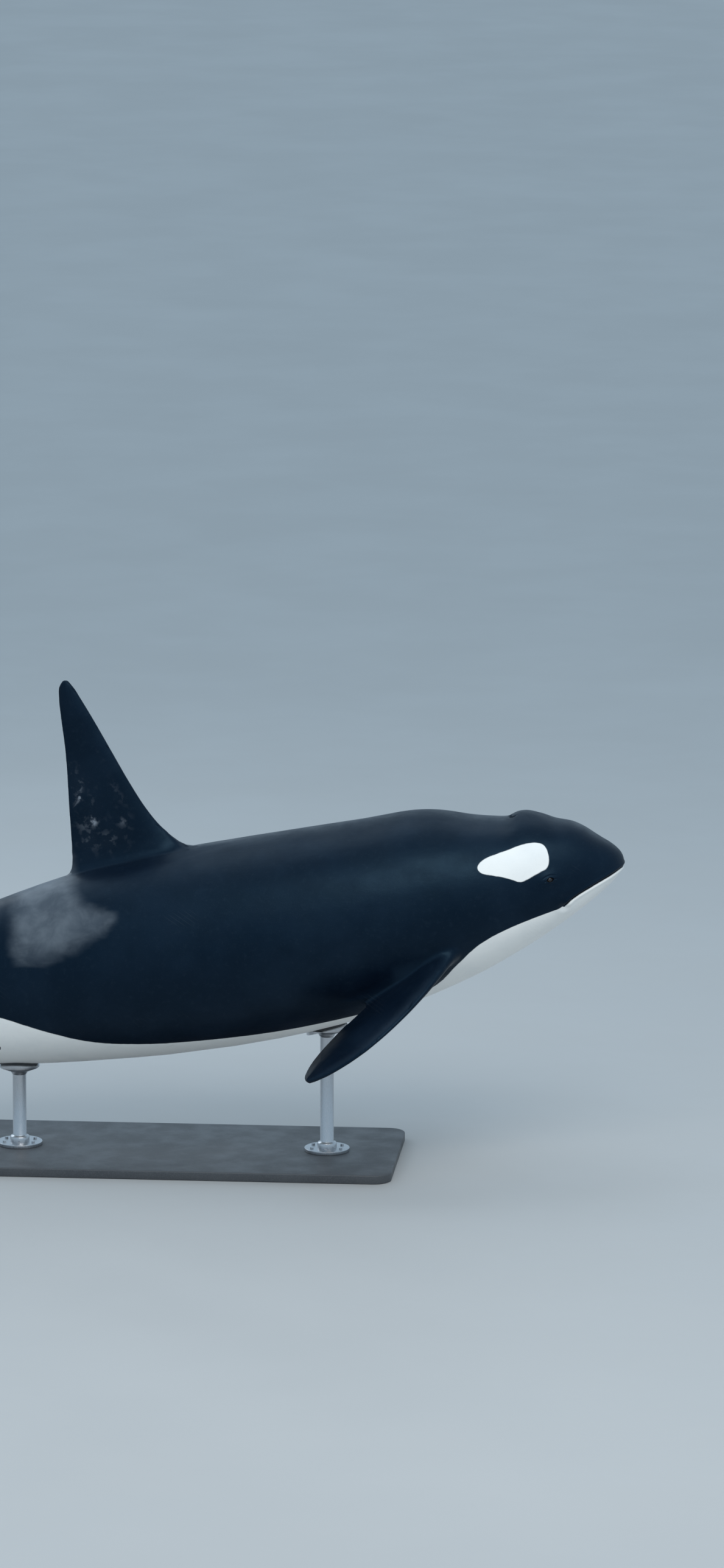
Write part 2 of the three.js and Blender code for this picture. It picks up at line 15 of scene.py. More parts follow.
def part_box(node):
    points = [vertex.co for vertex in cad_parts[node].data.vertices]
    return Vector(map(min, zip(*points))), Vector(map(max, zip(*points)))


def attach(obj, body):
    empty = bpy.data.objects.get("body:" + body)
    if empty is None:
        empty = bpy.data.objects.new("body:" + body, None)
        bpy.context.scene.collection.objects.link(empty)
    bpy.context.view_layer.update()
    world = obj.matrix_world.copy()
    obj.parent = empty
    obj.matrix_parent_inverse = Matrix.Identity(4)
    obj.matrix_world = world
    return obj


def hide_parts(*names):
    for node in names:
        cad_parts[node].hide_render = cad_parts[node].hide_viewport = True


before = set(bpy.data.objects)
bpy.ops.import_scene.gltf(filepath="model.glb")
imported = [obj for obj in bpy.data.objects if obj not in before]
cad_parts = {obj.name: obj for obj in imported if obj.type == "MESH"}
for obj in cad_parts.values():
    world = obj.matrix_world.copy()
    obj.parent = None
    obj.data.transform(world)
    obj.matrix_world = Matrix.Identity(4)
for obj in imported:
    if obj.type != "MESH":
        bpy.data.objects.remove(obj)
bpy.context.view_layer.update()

# Body: the same driving dimensions as the solids, in metres
BODY_LENGTH = 6.7
SNOUT_HEIGHT = 2.08
PITCH = 13.5
TAIL_PITCH = -4
BEND_FROM = 53
BEND_TO = 90
DORSAL = [
    [0, 0], [0.1, 0.6], [0.5, 1.3], [1, 1.86], [1.7, 2.47], [2.3, 3.05], [3.2, 3.93], [4.2, 4.66],
    [5.7, 5.4], [7, 5.92], [9, 6.46], [11.5, 7], [14, 7.6], [17, 8.4], [20, 9], [25, 9.32], [30, 9.66],
    [36, 10], [42, 10.3], [48, 10.4], [54, 10.1], [60, 9.35], [66, 8.25], [75, 6.5], [84, 4.7],
    [91, 3.3], [96, 2.2], [100, 0.7],
]
CREST = [
    [0, 0], [4, 0.03], [5.7, -0.1], [7, 0.18], [8.2, 0.4], [9.1, 0.27], [10.3, -0.26], [11.8, -0.27],
    [13.8, -0.12], [15.7, 0.13], [17.5, 0.25], [20, 0.15], [24, 0], [40, 0], [100, 0],
]
CREST_SHARPNESS = 5
VENTRAL = [
    [0, 0], [0.1, -0.5], [0.5, -1.05], [1.2, -1.65], [2.3, -2.35], [4, -3.25], [6.3, -4.35], [9, -5.5],
    [12.5, -6.8], [17, -8.15], [25, -9.65], [36, -10.2], [48, -9.5], [60, -7.9], [72, -5.8],
    [82, -4.2], [91, -2.8], [96, -1.9], [100, -0.6],
]
HALF_WIDTH = [
    [0, 0], [0.25, 1.15], [1, 2.2], [2.3, 3.2], [4, 4.15], [6.3, 5.15], [9, 6.1], [12.5, 7], [17, 7.9],
    [25, 8.9], [36, 9.2], [48, 8.6], [60, 7], [72, 4.8], [82, 2.95], [91, 1.65], [96, 1.15],
    [100, 0.45],
]
WIDEST_LEVEL = [[0, -0.1], [4, -0.4], [9, -0.7], [17, -0.9], [36, -0.6], [60, 0.4], [82, 0.3], [100, 0]]
SQUARENESS = [[0, 2], [2, 2.35], [8, 2.25], [17, 2.1], [40, 2.05], [65, 1.95], [82, 1.75], [100, 1.8]]

# Head
MOUTH = [[0.42, -0.62], [1.5, -0.87], [3, -1.22], [4.6, -1.66], [5.6, -2.05], [6.3, -2.5]]
EYE_STATION = 6.95
EYE_LEVEL = 0.55
EYE_RADIUS = 0.029
EYE_INSET = 0.020
BLOWHOLE_STATION = 9.2

# Markings: [station, height], the height running from -1 at the belly line to 1 at the back line
VENTRAL_WHITE = [
    [6.5, -0.5], [9, -0.42], [12, -0.4], [15, -0.46], [17.5, -0.62], [20, -0.8], [24, -0.87],
    [32, -0.85], [42, -0.8], [50, -0.74], [55, -0.64], [59, -0.45], [63, -0.22], [67.5, -0.03],
    [72, 0.1], [75, 0.12], [76.4, 0.03], [75, -0.08], [71, -0.24], [67, -0.44], [63.6, -0.66],
    [65, -0.8], [69, -0.88], [73, -0.95], [76, -1.0],
]
EYE_PATCH = [
    [6.66, 2.4], [6.62, 2.91], [6.71, 3.49], [6.99, 3.92], [7.6, 4.22], [8.8, 4.39], [10.3, 4.3],
    [11.85, 4.17], [12.6, 4.07], [13.2, 3.8], [13.48, 3.45], [13.35, 3.03], [12.9, 2.7], [12.16, 2.38],
    [11.1, 1.93], [10.4, 1.5], [9.95, 1.21], [9.55, 1.12], [9.1, 1.18], [8.2, 1.4], [7.5, 1.58],
    [7.05, 1.72], [6.78, 2.03],
]  # [station, level]
SADDLE = [
    [49.5, 0.62], [52.5, 0.78], [54.2, 1.15], [57.5, 1.15], [60.2, 0.8], [60.3, 0.5], [57.5, 0.36],
    [54, 0.42], [51, 0.5],
]
# Small pale marks low on the dorsal fin: [station, level, radius in metres, strength], a mark of
# strength above 1 being solid and a weaker one broken up
FIN_MARKS = [
    [50.98, 17.53, 0.012, 3.0], [50.22, 14.92, 0.024, 1.8], [51.1, 14.7, 0.05, 0.25],
    [50.85, 13.35, 0.07, 0.25], [49.3, 12.8, 0.06, 0.25], [48.1, 13.2, 0.05, 0.2],
    [47.3, 14.3, 0.03, 0.3], [47.3, 16.96, 0.02, 0.2],
]

# Fins: the edges of the dorsal fin are [station, level], those of a flipper [span, back] in metres
# from its root, and those of a fluke [side in metres, station]
DORSAL_FRONT = [
    [39.4, 8], [40.9, 10], [42.4, 11.3], [43.7, 12.8], [44.8, 15], [45.8, 17.9], [46.75, 21.2],
    [47.75, 24.7], [48.5, 27.1], [48.95, 28.4], [49.55, 29.3],
]
DORSAL_BACK = [
    [54.4, 8], [53.9, 10.4], [53.1, 12.2], [52.65, 14.4], [52.2, 17], [51.65, 19.9], [51.2, 22.7],
    [50.9, 25.4], [50.6, 27.6], [50.25, 28.8], [49.55, 29.3],
]
DORSAL_HALF_THICKNESS = 0.052
FLIPPER_FRONT = [
    [-0.3, -0.15], [0, -0.185], [0.23, -0.215], [0.52, -0.2], [0.79, -0.115], [0.98, 0.03],
    [1.068, 0.17], [1.078, 0.24],
]
FLIPPER_BACK = [
    [-0.3, 0.17], [0, 0.19], [0.17, 0.262], [0.4, 0.35], [0.68, 0.39], [0.89, 0.378], [1.03, 0.315],
    [1.078, 0.24],
]
FLIPPER_HALF_THICKNESS = 0.048
FLIPPER_STATION = 20.5
FLIPPER_LEVEL = -5.3
FLIPPER_SWEEP = 42
FLIPPER_DROOP = 34
FLIPPER_TWIST = 14
FLUKE_FRONT = [
    [0, 90], [0.08, 91.6], [0.26, 92.9], [0.48, 94.8], [0.69, 97], [0.87, 99.5], [0.95, 101.6],
]
FLUKE_BACK = [
    [0, 99.6], [0.06, 100.4], [0.19, 101.5], [0.42, 101.7], [0.65, 101.1], [0.85, 101.3], [0.95, 101.6],
]
FLUKE_HALF_THICKNESS = 0.044
FLUKE_CURL = 0.06
WIDE_RIM = 0.0155  # rim radius of a fin while its skin is made
THIN_RIM = 0.0035  # rim radius of the finished fin

# Skin mesh
BLADE_LEVELS = 90  # from a fin's root to its tip
BLADE_STEPS = 48  # from its front edge to its back edge
FINE_VOXEL = 0.0105
VOXEL = FINE_VOXEL
SKIN_TRIANGLES = 125_000
FIRST_ROUNDS = 2  # of smoothing after the remesh
ROOT_ROUNDS = 50  # of smoothing where the fins join the body, at the fine voxel
RELAX_STEP = 0.5
KEPT_SHARE = 0.88  # how strongly the places that matter are spared when triangles are saved
REFINE_REACHES = (0.045, 0.018)  # how far from a fine form the faces are divided, once for each

# Stand, in metres: [radius, rise or drop] for a rod; [share of the radius, rise, drop or lift] for a pad
SIDES = 96  # of every turned piece
PLATE_CORNER = 0.12
PLATE_EDGE = 0.008
ROD_FOOT = [[0.064, 0], [0.064, 0.03], [0.060, 0.036], [0.047, 0.04], [0.045, 0.043]]
ROD_TOP = [[0.045, 0.02], [0.052, 0.012], [0.056, 0]]
FELT = 0.012  # thickness under the belly
CUP_FOOT = [[0.45, 0], [0.5, 0.004], [0.97, 0.03], [1, 0.036]]
CUP_TOP = [[1, 0.012], [0.94, 0.003], [0.82, 0], [0.6, 0], [0.4, 0], [0.2, 0]]
LINING = [
    [0.3, -0.013], [0.6, -0.013], [0.9, -0.013], [0.955, -0.009], [0.955, -0.004], [0.92, 0.001],
    [0.6, 0.002], [0.3, 0.002],
]

# Colours; pairs are the ends of a mottled tone
BLACK = (0.0018, 0.0052, 0.0125, 1), (0.0038, 0.0090, 0.0190, 1)
GREY = (0.075, 0.088, 0.105, 1), (0.15, 0.168, 0.188, 1)
WHITE = (0.97, 0.94, 0.89, 1), (0.92, 0.90, 0.86, 1)
CLOUD = (0.009, 0.016, 0.027, 1)
SCRATCH = (0.06, 0.068, 0.078, 1)
FIN_MARK = (0.2, 0.22, 0.25, 1)
SPECKLE = (0.1, 0.11, 0.12, 1)
MOUTH_LINE = (0.006, 0.006, 0.007, 1)

# Lights and surroundings
LIGHTS = [
    ("key", (4, -10, 13), (0, 0, 1.5), (12, 8), 1080, (1.0, 0.98, 0.95)),
    ("top", (-1, 3, 11), (0, 0, 1.8), (12, 5), 170, (0.9, 0.95, 1.0)),
    ("rim", (-8, 8, 7), (0, 0, 1.8), (7, 4), 200, (0.85, 0.93, 1.0)),
]  # name, place, aim, size, power, colour
WORLD_COLOUR = (0.62, 0.82, 1.0, 1)
WORLD_STRENGTH = 0.74
FLOOR_REACH = 260

# Camera: a long lens from the right side, a little ahead of square and a little above
IMAGE_WIDTH = 1189
IMAGE_HEIGHT = 2576
SENSOR = 36
CAMERA_DISTANCE = 60
CAMERA_AZIMUTH = 5
CAMERA_ELEVATION = 12
PIXELS_PER_METRE = 250
SNOUT_PIXEL = (1024.5, 1410.5)


# Curves
def through(knots, x):
    """Smooth curve through [x, y] knots: a cubic between each pair, its slopes from the neighbours."""
    xs, ys = np.array(knots, float).T
    last = len(xs) - 1
    slopes = np.empty(last + 1)
    for k in range(last + 1):
        a, b = max(0, k - 1), min(last, k + 1)
        slopes[k] = (ys[b] - ys[a]) / (xs[b] - xs[a])
    x = np.asarray(x, float)
    i = np.clip(np.searchsorted(xs, x) - 1, 0, last - 1)
    w = xs[i + 1] - xs[i]
    t = (x - xs[i]) / w
    return (
        ys[i] * (1 + 2 * t) * (1 - t) ** 2 + w * slopes[i] * t * (1 - t) ** 2
        + ys[i + 1] * t * t * (3 - 2 * t) + w * slopes[i + 1] * t * t * (t - 1)
    )


def smooth(knots, count, closed=False, beyond=None):
    """Points along a centripetal Catmull-Rom curve through [x, y] knots.

    beyond is a knot that the open curve heads for after its end."""
    p = np.array(knots, float)
    if closed:
        p = np.vstack([p[-1], p, p[0], p[1]])
    else:
        p = np.vstack([2 * p[0] - p[1], p, 2 * p[-1] - p[-2] if beyond is None else beyond])
    spans = len(p) - 3
    out = []
    for way in np.linspace(0, spans, count, endpoint=not closed):
        i = min(int(way), spans - 1)
        f = way - i
        a, b, c, d = p[i : i + 4]
        t0 = 0
        t1 = t0 + np.linalg.norm(b - a) ** 0.5
        t2 = t1 + np.linalg.norm(c - b) ** 0.5
        t3 = t2 + np.linalg.norm(d - c) ** 0.5
        t = t1 + f * (t2 - t1)
        blend = lambda u, v, p, q: (v - t) / (v - u) * p + (t - u) / (v - u) * q
        a1, a2, a3 = blend(t0, t1, a, b), blend(t1, t2, b, c), blend(t2, t3, c, d)
        out.append(blend(t1, t2, blend(t0, t2, a1, a2), blend(t1, t3, a2, a3)))
    return np.array(out)


def ramp(x, low, high):
    """Smooth step from 0 at low to 1 at high."""
    t = np.clip((np.asarray(x, float) - low) / (high - low), 0, 1)
    return t * t * (3 - 2 * t)


def fall(x, low, high):
    """Smooth step from 1 at low to 0 at high."""
    return 1 - ramp(x, low, high)


def metres(station):
    """Percents of the body length in metres; percent is the reverse."""
    return station / 100 * BODY_LENGTH


def percent(length):
    return length / BODY_LENGTH * 100


# Spine
def pitch_at(station):
    return np.radians(PITCH + (TAIL_PITCH - PITCH) * ramp(station, BEND_FROM, BEND_TO))


SPINE_STEP = 0.25
spine_stations = np.arange(0, 104 + SPINE_STEP / 2, SPINE_STEP)
middles = pitch_at(spine_stations[:-1] + SPINE_STEP / 2)
spine_steps = metres(-np.stack([np.cos(middles), np.sin(middles)], 1) * SPINE_STEP)
spine = np.vstack([[0, SNOUT_HEIGHT], [0, SNOUT_HEIGHT] + np.cumsum(spine_steps, 0)])


def axis_at(station):
    """Place on the spine, carried on straight ahead of the snout."""
    x = np.interp(station, spine_stations, spine[:, 0])
    z = np.interp(station, spine_stations, spine[:, 1])
    ahead = metres(np.maximum(0, -np.asarray(station, float)))
    return x + ahead * math.cos(math.radians(PITCH)), z + ahead * math.sin(math.radians(PITCH))


def place(station, side, level):
    """Body coordinates to the model's frame."""
    station, side, level = np.broadcast_arrays(
        np.asarray(station, float), np.asarray(side, float), np.asarray(level, float))
    x, z = axis_at(station)
    pitch = pitch_at(station)
    rise = metres(level)
    return np.stack([shift + x - rise * np.sin(pitch), side, z + rise * np.cos(pitch)], -1)


def unplace(points):
    """The model's frame to station, side and level."""
    x = points[:, 0] - shift
    z = points[:, 2]
    station = percent(-x) / math.cos(math.radians(PITCH))
    for _ in range(12):
        ax, az = axis_at(station)
        pitch = pitch_at(station)
        along = (x - ax) * np.cos(pitch) + (z - az) * np.sin(pitch)
        station = np.minimum(station - percent(along), 103.9)
    level = percent(-(x - ax) * np.sin(pitch) + (z - az) * np.cos(pitch))
    return station, points[:, 1], level


# Sections
def rooted(knots):
    """Knots by the root of their station, which keeps a curve round at the blunt snout."""
    return [[math.sqrt(s), v] for s, v in knots]


def section_at(station):
    """Middle level, reach up, reach down, half width, power and crest of the body's section."""
    station = np.clip(np.asarray(station, float), 0, 100)
    root = np.sqrt(station)
    middle = through(WIDEST_LEVEL, station) * np.minimum(1, station)
    up = np.maximum(0.01, through(rooted(DORSAL), root) - middle)
    down = np.maximum(0.01, middle - through(rooted(VENTRAL), root))
    half = metres(np.maximum(0.01, through(rooted(HALF_WIDTH), root)))
    return middle, up, down, half, through(SQUARENESS, station), through(CREST, station)


def height_of(station, level):
    """A level as a height between -1 at the belly line and 1 at the back line."""
    middle, up, down, *_ = section_at(station)
    return (level - middle) / np.where(level > middle, up, down)


def on_section(station, turn):
    """Side and level of the skin at an angle round the section, 0 being the back line."""
    middle, up, down, half, power, crest = section_at(station)
    across = np.sign(np.sin(turn)) * np.abs(np.sin(turn)) ** (2 / power)
    rise = np.sign(np.cos(turn)) * np.abs(np.cos(turn)) ** (2 / power)
    level = middle + rise * np.where(rise > 0, up, down)
    return half * across, level + crest * np.maximum(0, np.cos(turn)) ** CREST_SHARPNESS


def skin_side(station, level):
    """How far the skin lies from the middle at this level, in metres."""
    _, _, _, half, power, _ = section_at(station)
    rise = np.abs(height_of(station, level))
    return half * np.maximum(0, 1 - rise**power) ** (1 / power)


def back_level(station, side):
    """Level of the back this far from the middle."""
    middle, up, _, half, power, crest = section_at(station)
    across = np.minimum(1, np.abs(side / half))
    dome = (1 - across**power) ** (1 / power)
    return middle + up * dome + crest * (1 - across**2) ** (CREST_SHARPNESS / 2)


def turn_of(station, side, level):
    """Angle round the section, 0 at the back line and pi at the belly line."""
    _, _, _, half, power, _ = section_at(station)
    rise = height_of(station, level)
    return np.arctan2(np.abs(side / half) ** (power / 2), np.sign(rise) * np.abs(rise) ** (power / 2))


def girth_radius(station):
    """Mean radius of the section, in metres."""
    _, up, down, half, _, _ = section_at(station)
    return (metres(up + down) + 2 * half) / 4


# The shift that puts the middle of the whole over the origin, from where an eye's solid sits
shift = 0.0


def eye_frame(hand):
    """Where an eye lies on the skin, and axes back along the skin, up it and out of it."""
    at = lambda s, l: place(s, hand * skin_side(s, l), l)
    back = at(EYE_STATION + 0.2, EYE_LEVEL) - at(EYE_STATION - 0.2, EYE_LEVEL)
    back /= np.linalg.norm(back)
    up = at(EYE_STATION, EYE_LEVEL + 0.2) - at(EYE_STATION, EYE_LEVEL - 0.2)
    out = np.cross(back, up)
    out /= np.linalg.norm(out)
    out *= np.sign(out[1] * hand)
    up = np.cross(out, back)
    return at(EYE_STATION, EYE_LEVEL), back, up * np.sign(up[2]), out


def eye_centre(hand):
    point, _, _, out = eye_frame(hand)
    return point - EYE_INSET * out


low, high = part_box("eye_right")
shift = float((low.x + high.x) / 2 - eye_centre(-1)[0])


# Mesh helpers
def add_object(name, mesh):
    made = bpy.data.objects.new(name, mesh)
    bpy.context.scene.collection.objects.link(made)
    return made


def from_points(name, vertices, faces):
    mesh = bpy.data.meshes.new(name)
    mesh.from_pydata([tuple(map(float, v)) for v in vertices], [], faces)
    mesh.update()
    return add_object(name, mesh)


def from_bmesh(name, bm):
    mesh = bpy.data.meshes.new(name)
    bm.to_mesh(mesh)
    bm.free()
    return add_object(name, mesh)


def loft(name, rings):
    """A closed loft through rings of equally many points; its ends are single points or flat."""
    rings = [np.atleast_2d(r) for r in rings]
    sizes = [len(r) for r in rings]
    starts = np.cumsum([0] + sizes)
    faces = []
    for a, b, size_a, size_b in zip(starts, starts[1:], sizes, sizes[1:]):
        n = max(size_a, size_b)
        for k in range(n):
            m = (k + 1) % n
            corners = [a + k % size_a, b + k % size_b, b + m % size_b, a + m % size_a]
            faces.append(tuple(dict.fromkeys(corners)))
    if sizes[0] > 1:
        faces.append(tuple(range(starts[1] - 1, -1, -1)))
    if sizes[-1] > 1:
        faces.append(tuple(range(starts[-2], starts[-1])))
    piece = from_points(name, np.vstack(rings), faces)
    bm = bmesh.new()
    bm.from_mesh(piece.data)
    bmesh.ops.recalc_face_normals(bm, faces=bm.faces)
    bm.to_mesh(piece.data)
    bm.free()
    return piece


def evaluated(piece, kind, **settings):
    """Runs one modifier on a piece and keeps its result."""
    modifier = piece.modifiers.new(kind, kind)
    for key, value in settings.items():
        setattr(modifier, key, value)
    depsgraph = bpy.context.evaluated_depsgraph_get()
    mesh = bpy.data.meshes.new_from_object(piece.evaluated_get(depsgraph))
    piece.modifiers.clear()
    old = piece.data
    piece.data = mesh
    bpy.data.meshes.remove(old)


def points_of(piece, kind="co"):
    found = np.empty(len(piece.data.vertices) * 3, np.float32)
    piece.data.vertices.foreach_get(kind, found)
    return found.reshape(-1, 3).astype(float)


def normals_of(piece):
    return points_of(piece, "normal")


def move_to(piece, points):
    piece.data.vertices.foreach_set("co", points.astype(np.float32).ravel())
    piece.data.update()


def relax(piece, weight, rounds):
    """Moves each point towards the mean of its neighbours, by its weight, this many times."""
    edges = np.empty(len(piece.data.edges) * 2, np.int64)
    piece.data.edges.foreach_get("vertices", edges)
    a, b = edges.reshape(-1, 2).T
    points = points_of(piece)
    size = len(points)
    count = np.maximum(1, np.bincount(a, minlength=size) + np.bincount(b, minlength=size))
    for _ in range(rounds):
        mean = np.empty_like(points)
        for axis in range(3):
            ahead = np.bincount(a, points[b, axis], size)
            behind = np.bincount(b, points[a, axis], size)
            mean[:, axis] = (ahead + behind) / count
        points += (weight * RELAX_STEP)[:, None] * (mean - points)
    move_to(piece, points)


# Skin: base forms
def body_rings():
    stations = 100 * np.linspace(0, 1, 261)[1:] ** 1.5
    turns = np.linspace(0, 2 * math.pi, 120, endpoint=False)
    return [place(0, 0, 0)] + [place(s, *on_section(s, turns)) for s in stations]


class Blade:
    """A fin: a ruled sheet between two edges that meet at its tip, with a smooth thickness.

    carry puts (a, b, thickness) in the model's frame, find does the reverse, and metric gives a
    step along the sheet in metres."""

    def __init__(self, front, back, half, carry, find, metric=lambda step: step):
        self.front = smooth(front, BLADE_LEVELS + 1, beyond=back[-2])
        self.back = smooth(back, BLADE_LEVELS + 1, beyond=front[-2])
        self.half = half
        self.carry = carry
        self.find = find
        self.metric = metric
        # Which way round the edges go: the sign of the cross product of chord and rise
        chord = self.back[0] - self.front[0]
        rise = self.front[-1] - self.front[0]
        self.turning = np.sign(chord[0] * rise[1] - chord[1] * rise[0])

    def thickness(self, u, share, chord, rim):
        """Half thickness with a round rim of this radius; 2.6 brings its thickest place to half(u)."""
        swell = self.half(u) * 2.6 * np.sqrt(share) * (1 - share)
        from_rim = np.clip(np.minimum(share, 1 - share) * chord / rim, 0, 1)
        return np.sqrt(swell**2 + rim**2 * (1 - (1 - from_rim) ** 2))

    def rings(self):
        """Rings of the thickened blade, its rims wide enough for the remesh to follow."""
        share = (1 - np.cos(np.linspace(0, math.pi, BLADE_STEPS + 1))) / 2
        shares = np.concatenate([share, share[-2:0:-1]])
        faces = np.concatenate([np.ones(BLADE_STEPS + 1), -np.ones(BLADE_STEPS - 1)])
        rings = []
        for i in range(BLADE_LEVELS):
            edge = self.back[i] - self.front[i]
            a = self.front[i, 0] + shares * edge[0]
            b = self.front[i, 1] + shares * edge[1]
            chord = np.linalg.norm(self.metric(edge))
            thickness = self.thickness(i / BLADE_LEVELS, shares, chord, WIDE_RIM)
            rings.append(self.carry(a, b, faces * thickness))
        return rings

    def settle(self, points, weight):
        """Moves points of the thickened blade to its real, thin section."""
        a, b, out = self.find(points)
        # The level of a point is found by halving, from the line through it between the two edges
        low, high = np.zeros(len(a)), np.full(len(a), float(BLADE_LEVELS))
        index = np.arange(BLADE_LEVELS + 1)
        for _ in range(24):
            mid = (low + high) / 2
            fa, fb, ba, bb = (np.interp(mid, index, line) for line in (*self.front.T, *self.back.T))
            side = (ba - fa) * (b - fb) - (bb - fb) * (a - fa)
            beyond = side * self.turning > 0
            low, high = np.where(beyond, mid, low), np.where(beyond, high, mid)
        span = (ba - fa) ** 2 + (bb - fb) ** 2 + 1e-12
        share = ((a - fa) * (ba - fa) + (b - fb) * (bb - fb)) / span
        chord = np.linalg.norm(self.metric(np.stack([ba - fa, bb - fb], 1)), axis=1)
        # Round the rim a point's turn, not its own uneven distance, tells how deep it lies
        rim = np.minimum(WIDE_RIM, chord / 2)
        from_edge = np.minimum(share, 1 - share) * chord
        turn = np.arctan2(np.abs(out), rim - from_edge)
        depth = np.where(from_edge < rim, rim * (1 - np.cos(turn)), from_edge) / np.maximum(chord, 1e-6)
        share = np.clip(np.where(share < 0.5, depth, 1 - depth), 0, 1)
        wide = self.thickness(mid / BLADE_LEVELS, share, chord, WIDE_RIM)
        thin = self.thickness(mid / BLADE_LEVELS, share, chord, THIN_RIM)
        scaled = out * thin / np.maximum(wide, 1e-5)
        fullness = ramp(np.abs(scaled) / np.maximum(thin, 1e-5), 0.5, 0.8)
        settled = scaled + fullness * (np.sign(out) * thin - scaled)
        a = a + weight * (fa + share * (ba - fa) - a)
        b = b + weight * (fb + share * (bb - fb) - b)
        return self.carry(a, b, out + weight * (settled - out))


def dorsal_fin():
    half = lambda u: DORSAL_HALF_THICKNESS * (1 - 0.8 * u) * (1 + 0.5 * np.exp(-8 * u))
    carry = lambda station, level, out: place(station, out, level)
    metric = lambda step: step * BODY_LENGTH / 100

    def find(points):
        station, side, level = unplace(points)
        return station, level, side

    return Blade(DORSAL_FRONT, DORSAL_BACK, half, carry, find, metric)


def flipper(hand):
    root = place(FLIPPER_STATION, hand * skin_side(FLIPPER_STATION, FLIPPER_LEVEL), FLIPPER_LEVEL)
    turn = np.array(
        Matrix.Rotation(math.radians(FLIPPER_SWEEP), 3, "Z")
        @ Matrix.Rotation(math.radians(-FLIPPER_DROOP), 3, "X")
        @ Matrix.Rotation(math.radians(-FLIPPER_TWIST), 3, "Y")
    )
    half = lambda u: FLIPPER_HALF_THICKNESS * (1 - 0.72 * u) * (1 + 0.4 * np.exp(-7 * u))

    def carry(span, back, out):
        return np.stack([-back, span, out], -1) @ turn.T * [1, hand, 1] + root

    def find(points):
        p = (points - root) * [1, hand, 1] @ turn
        return p[:, 1], -p[:, 0], p[:, 2]

    return Blade(FLIPPER_FRONT, FLIPPER_BACK, half, carry, find)


def fluke(hand):
    half = lambda u: FLUKE_HALF_THICKNESS * (1 - 0.85 * u)
    curl = lambda side: FLUKE_CURL * (side / FLUKE_FRONT[-1][0]) ** 2
    metric = lambda step: step * [1, BODY_LENGTH / 100]

    def carry(side, station, out):
        return place(station, hand * side, percent(out - curl(side)))

    def find(points):
        station, side, level = unplace(points)
        side = hand * side
        return side, station, metres(level) + curl(side)

    return Blade(FLUKE_FRONT, FLUKE_BACK, half, carry, find, metric)


def whole_skin():
    """Body, fins, flippers and flukes as one closed surface, blended where they join."""
    blades = {"dorsal": dorsal_fin()}
    for hand in (-1, 1):
        blades["flipper", hand] = flipper(hand)
        blades["fluke", hand] = fluke(hand)
    made = [loft("form", rings) for rings in [body_rings()] + [b.rings() for b in blades.values()]]
    with bpy.context.temp_override(active_object=made[0], selected_editable_objects=made):
        bpy.ops.object.join()
    skin = made[0]
    skin.name = "skin"
    evaluated(skin, "REMESH", mode="VOXEL", voxel_size=VOXEL, adaptivity=0)
    relax(skin, np.full(len(skin.data.vertices), 1.0), FIRST_ROUNDS)
    thin_blades(skin, blades)
    near = root_zone(skin)
    relax(skin, near, round(ROOT_ROUNDS * (FINE_VOXEL / VOXEL) ** 2))
    settle_body(skin, near)
    return skin


def outside_body(station, side, level):
    """About how far a point lies outside the plain body, in metres."""
    middle, up, down, half, power, _ = section_at(station)
    tall = metres(np.where(level > middle, up, down))
    rise = metres(level - middle)
    reach = (np.abs(side / half) ** power + np.abs(rise / tall) ** power) ** (1 / power)
    return (reach - 1) * np.minimum(half, tall)


def thin_blades(skin, blades):
    """Takes the thickened fins to their real thickness, fading out towards their roots."""
    points = points_of(skin)
    station, side, level = unplace(points)
    from_root = ramp(outside_body(station, side, level), 0.03, 0.12)
    for name, blade in blades.items():
        if name == "dorsal":
            chosen = (station > 36) & (station < 58) & (level > 8) & (np.abs(side) < 0.2)
            weight = from_root
        elif name[0] == "flipper":
            chosen = (station > 10) & (station < 46) & (level < 2) & (side * name[1] > 0.3)
            weight = from_root
        else:
            chosen = (station > 86) & (side * name[1] > 0.02)
            weight = ramp(np.abs(side) - section_at(station)[3], 0.02, 0.10)
        chosen &= weight > 0
        points[chosen] = blade.settle(points[chosen], weight[chosen])
    move_to(skin, points)


def root_zone(skin):
    """How near each point is to the corner where a fin meets the body, from 0 to 1."""
    station, side, level = unplace(points_of(skin))
    beyond = outside_body(station, side, level)
    low_zone = ramp(beyond, -0.02, 0.01) * fall(beyond, 0.06, 0.14)
    tall_zone = ramp(beyond, -0.04, -0.01) * fall(beyond, 0.05, 0.12)
    dorsal = tall_zone * ramp(station, 34, 37) * fall(station, 55.5, 57.5) * (level > 6)
    dorsal = dorsal * fall(np.abs(side), 0.2, 0.3)
    flippers = low_zone * ramp(station, 14, 16) * fall(station, 33, 36) * (level < 0)
    flukes = low_zone * ramp(station, 86, 88) * fall(station, 98, 99)
    return np.clip(dorsal + flippers + flukes, 0, 1)


def settle_body(skin, near):
    """Puts the skin of the body exactly on its sections, away from the fins' roots."""
    points = points_of(skin)
    station, side, level = unplace(points)
    crest = section_at(station)[5]
    plain = level
    for _ in range(3):
        turn = turn_of(station, side, plain)
        plain = level - crest * np.maximum(0, np.cos(turn)) ** CREST_SHARPNESS
    across, exact_level = on_section(station, turn)
    exact = place(station, across * np.sign(side), exact_level)
    gap = np.linalg.norm(exact - points, axis=1)
    weight = (1 - near) * fall(gap, 0.008, 0.016) * ramp(station, 0.02, 0.15) * (station < 99)
    move_to(skin, points + weight[:, None] * (exact - points))


# Skin: fine forms of the head and belly
def to_segment(a, b, x, y):
    """Distance to the straight line between two points, and the share along it."""
    dx, dy = b - a
    t = np.clip(((x - a[0]) * dx + (y - a[1]) * dy) / max(dx * dx + dy * dy, 1e-12), 0, 1)
    return np.hypot(x - a[0] - t * dx, y - a[1] - t * dy), t


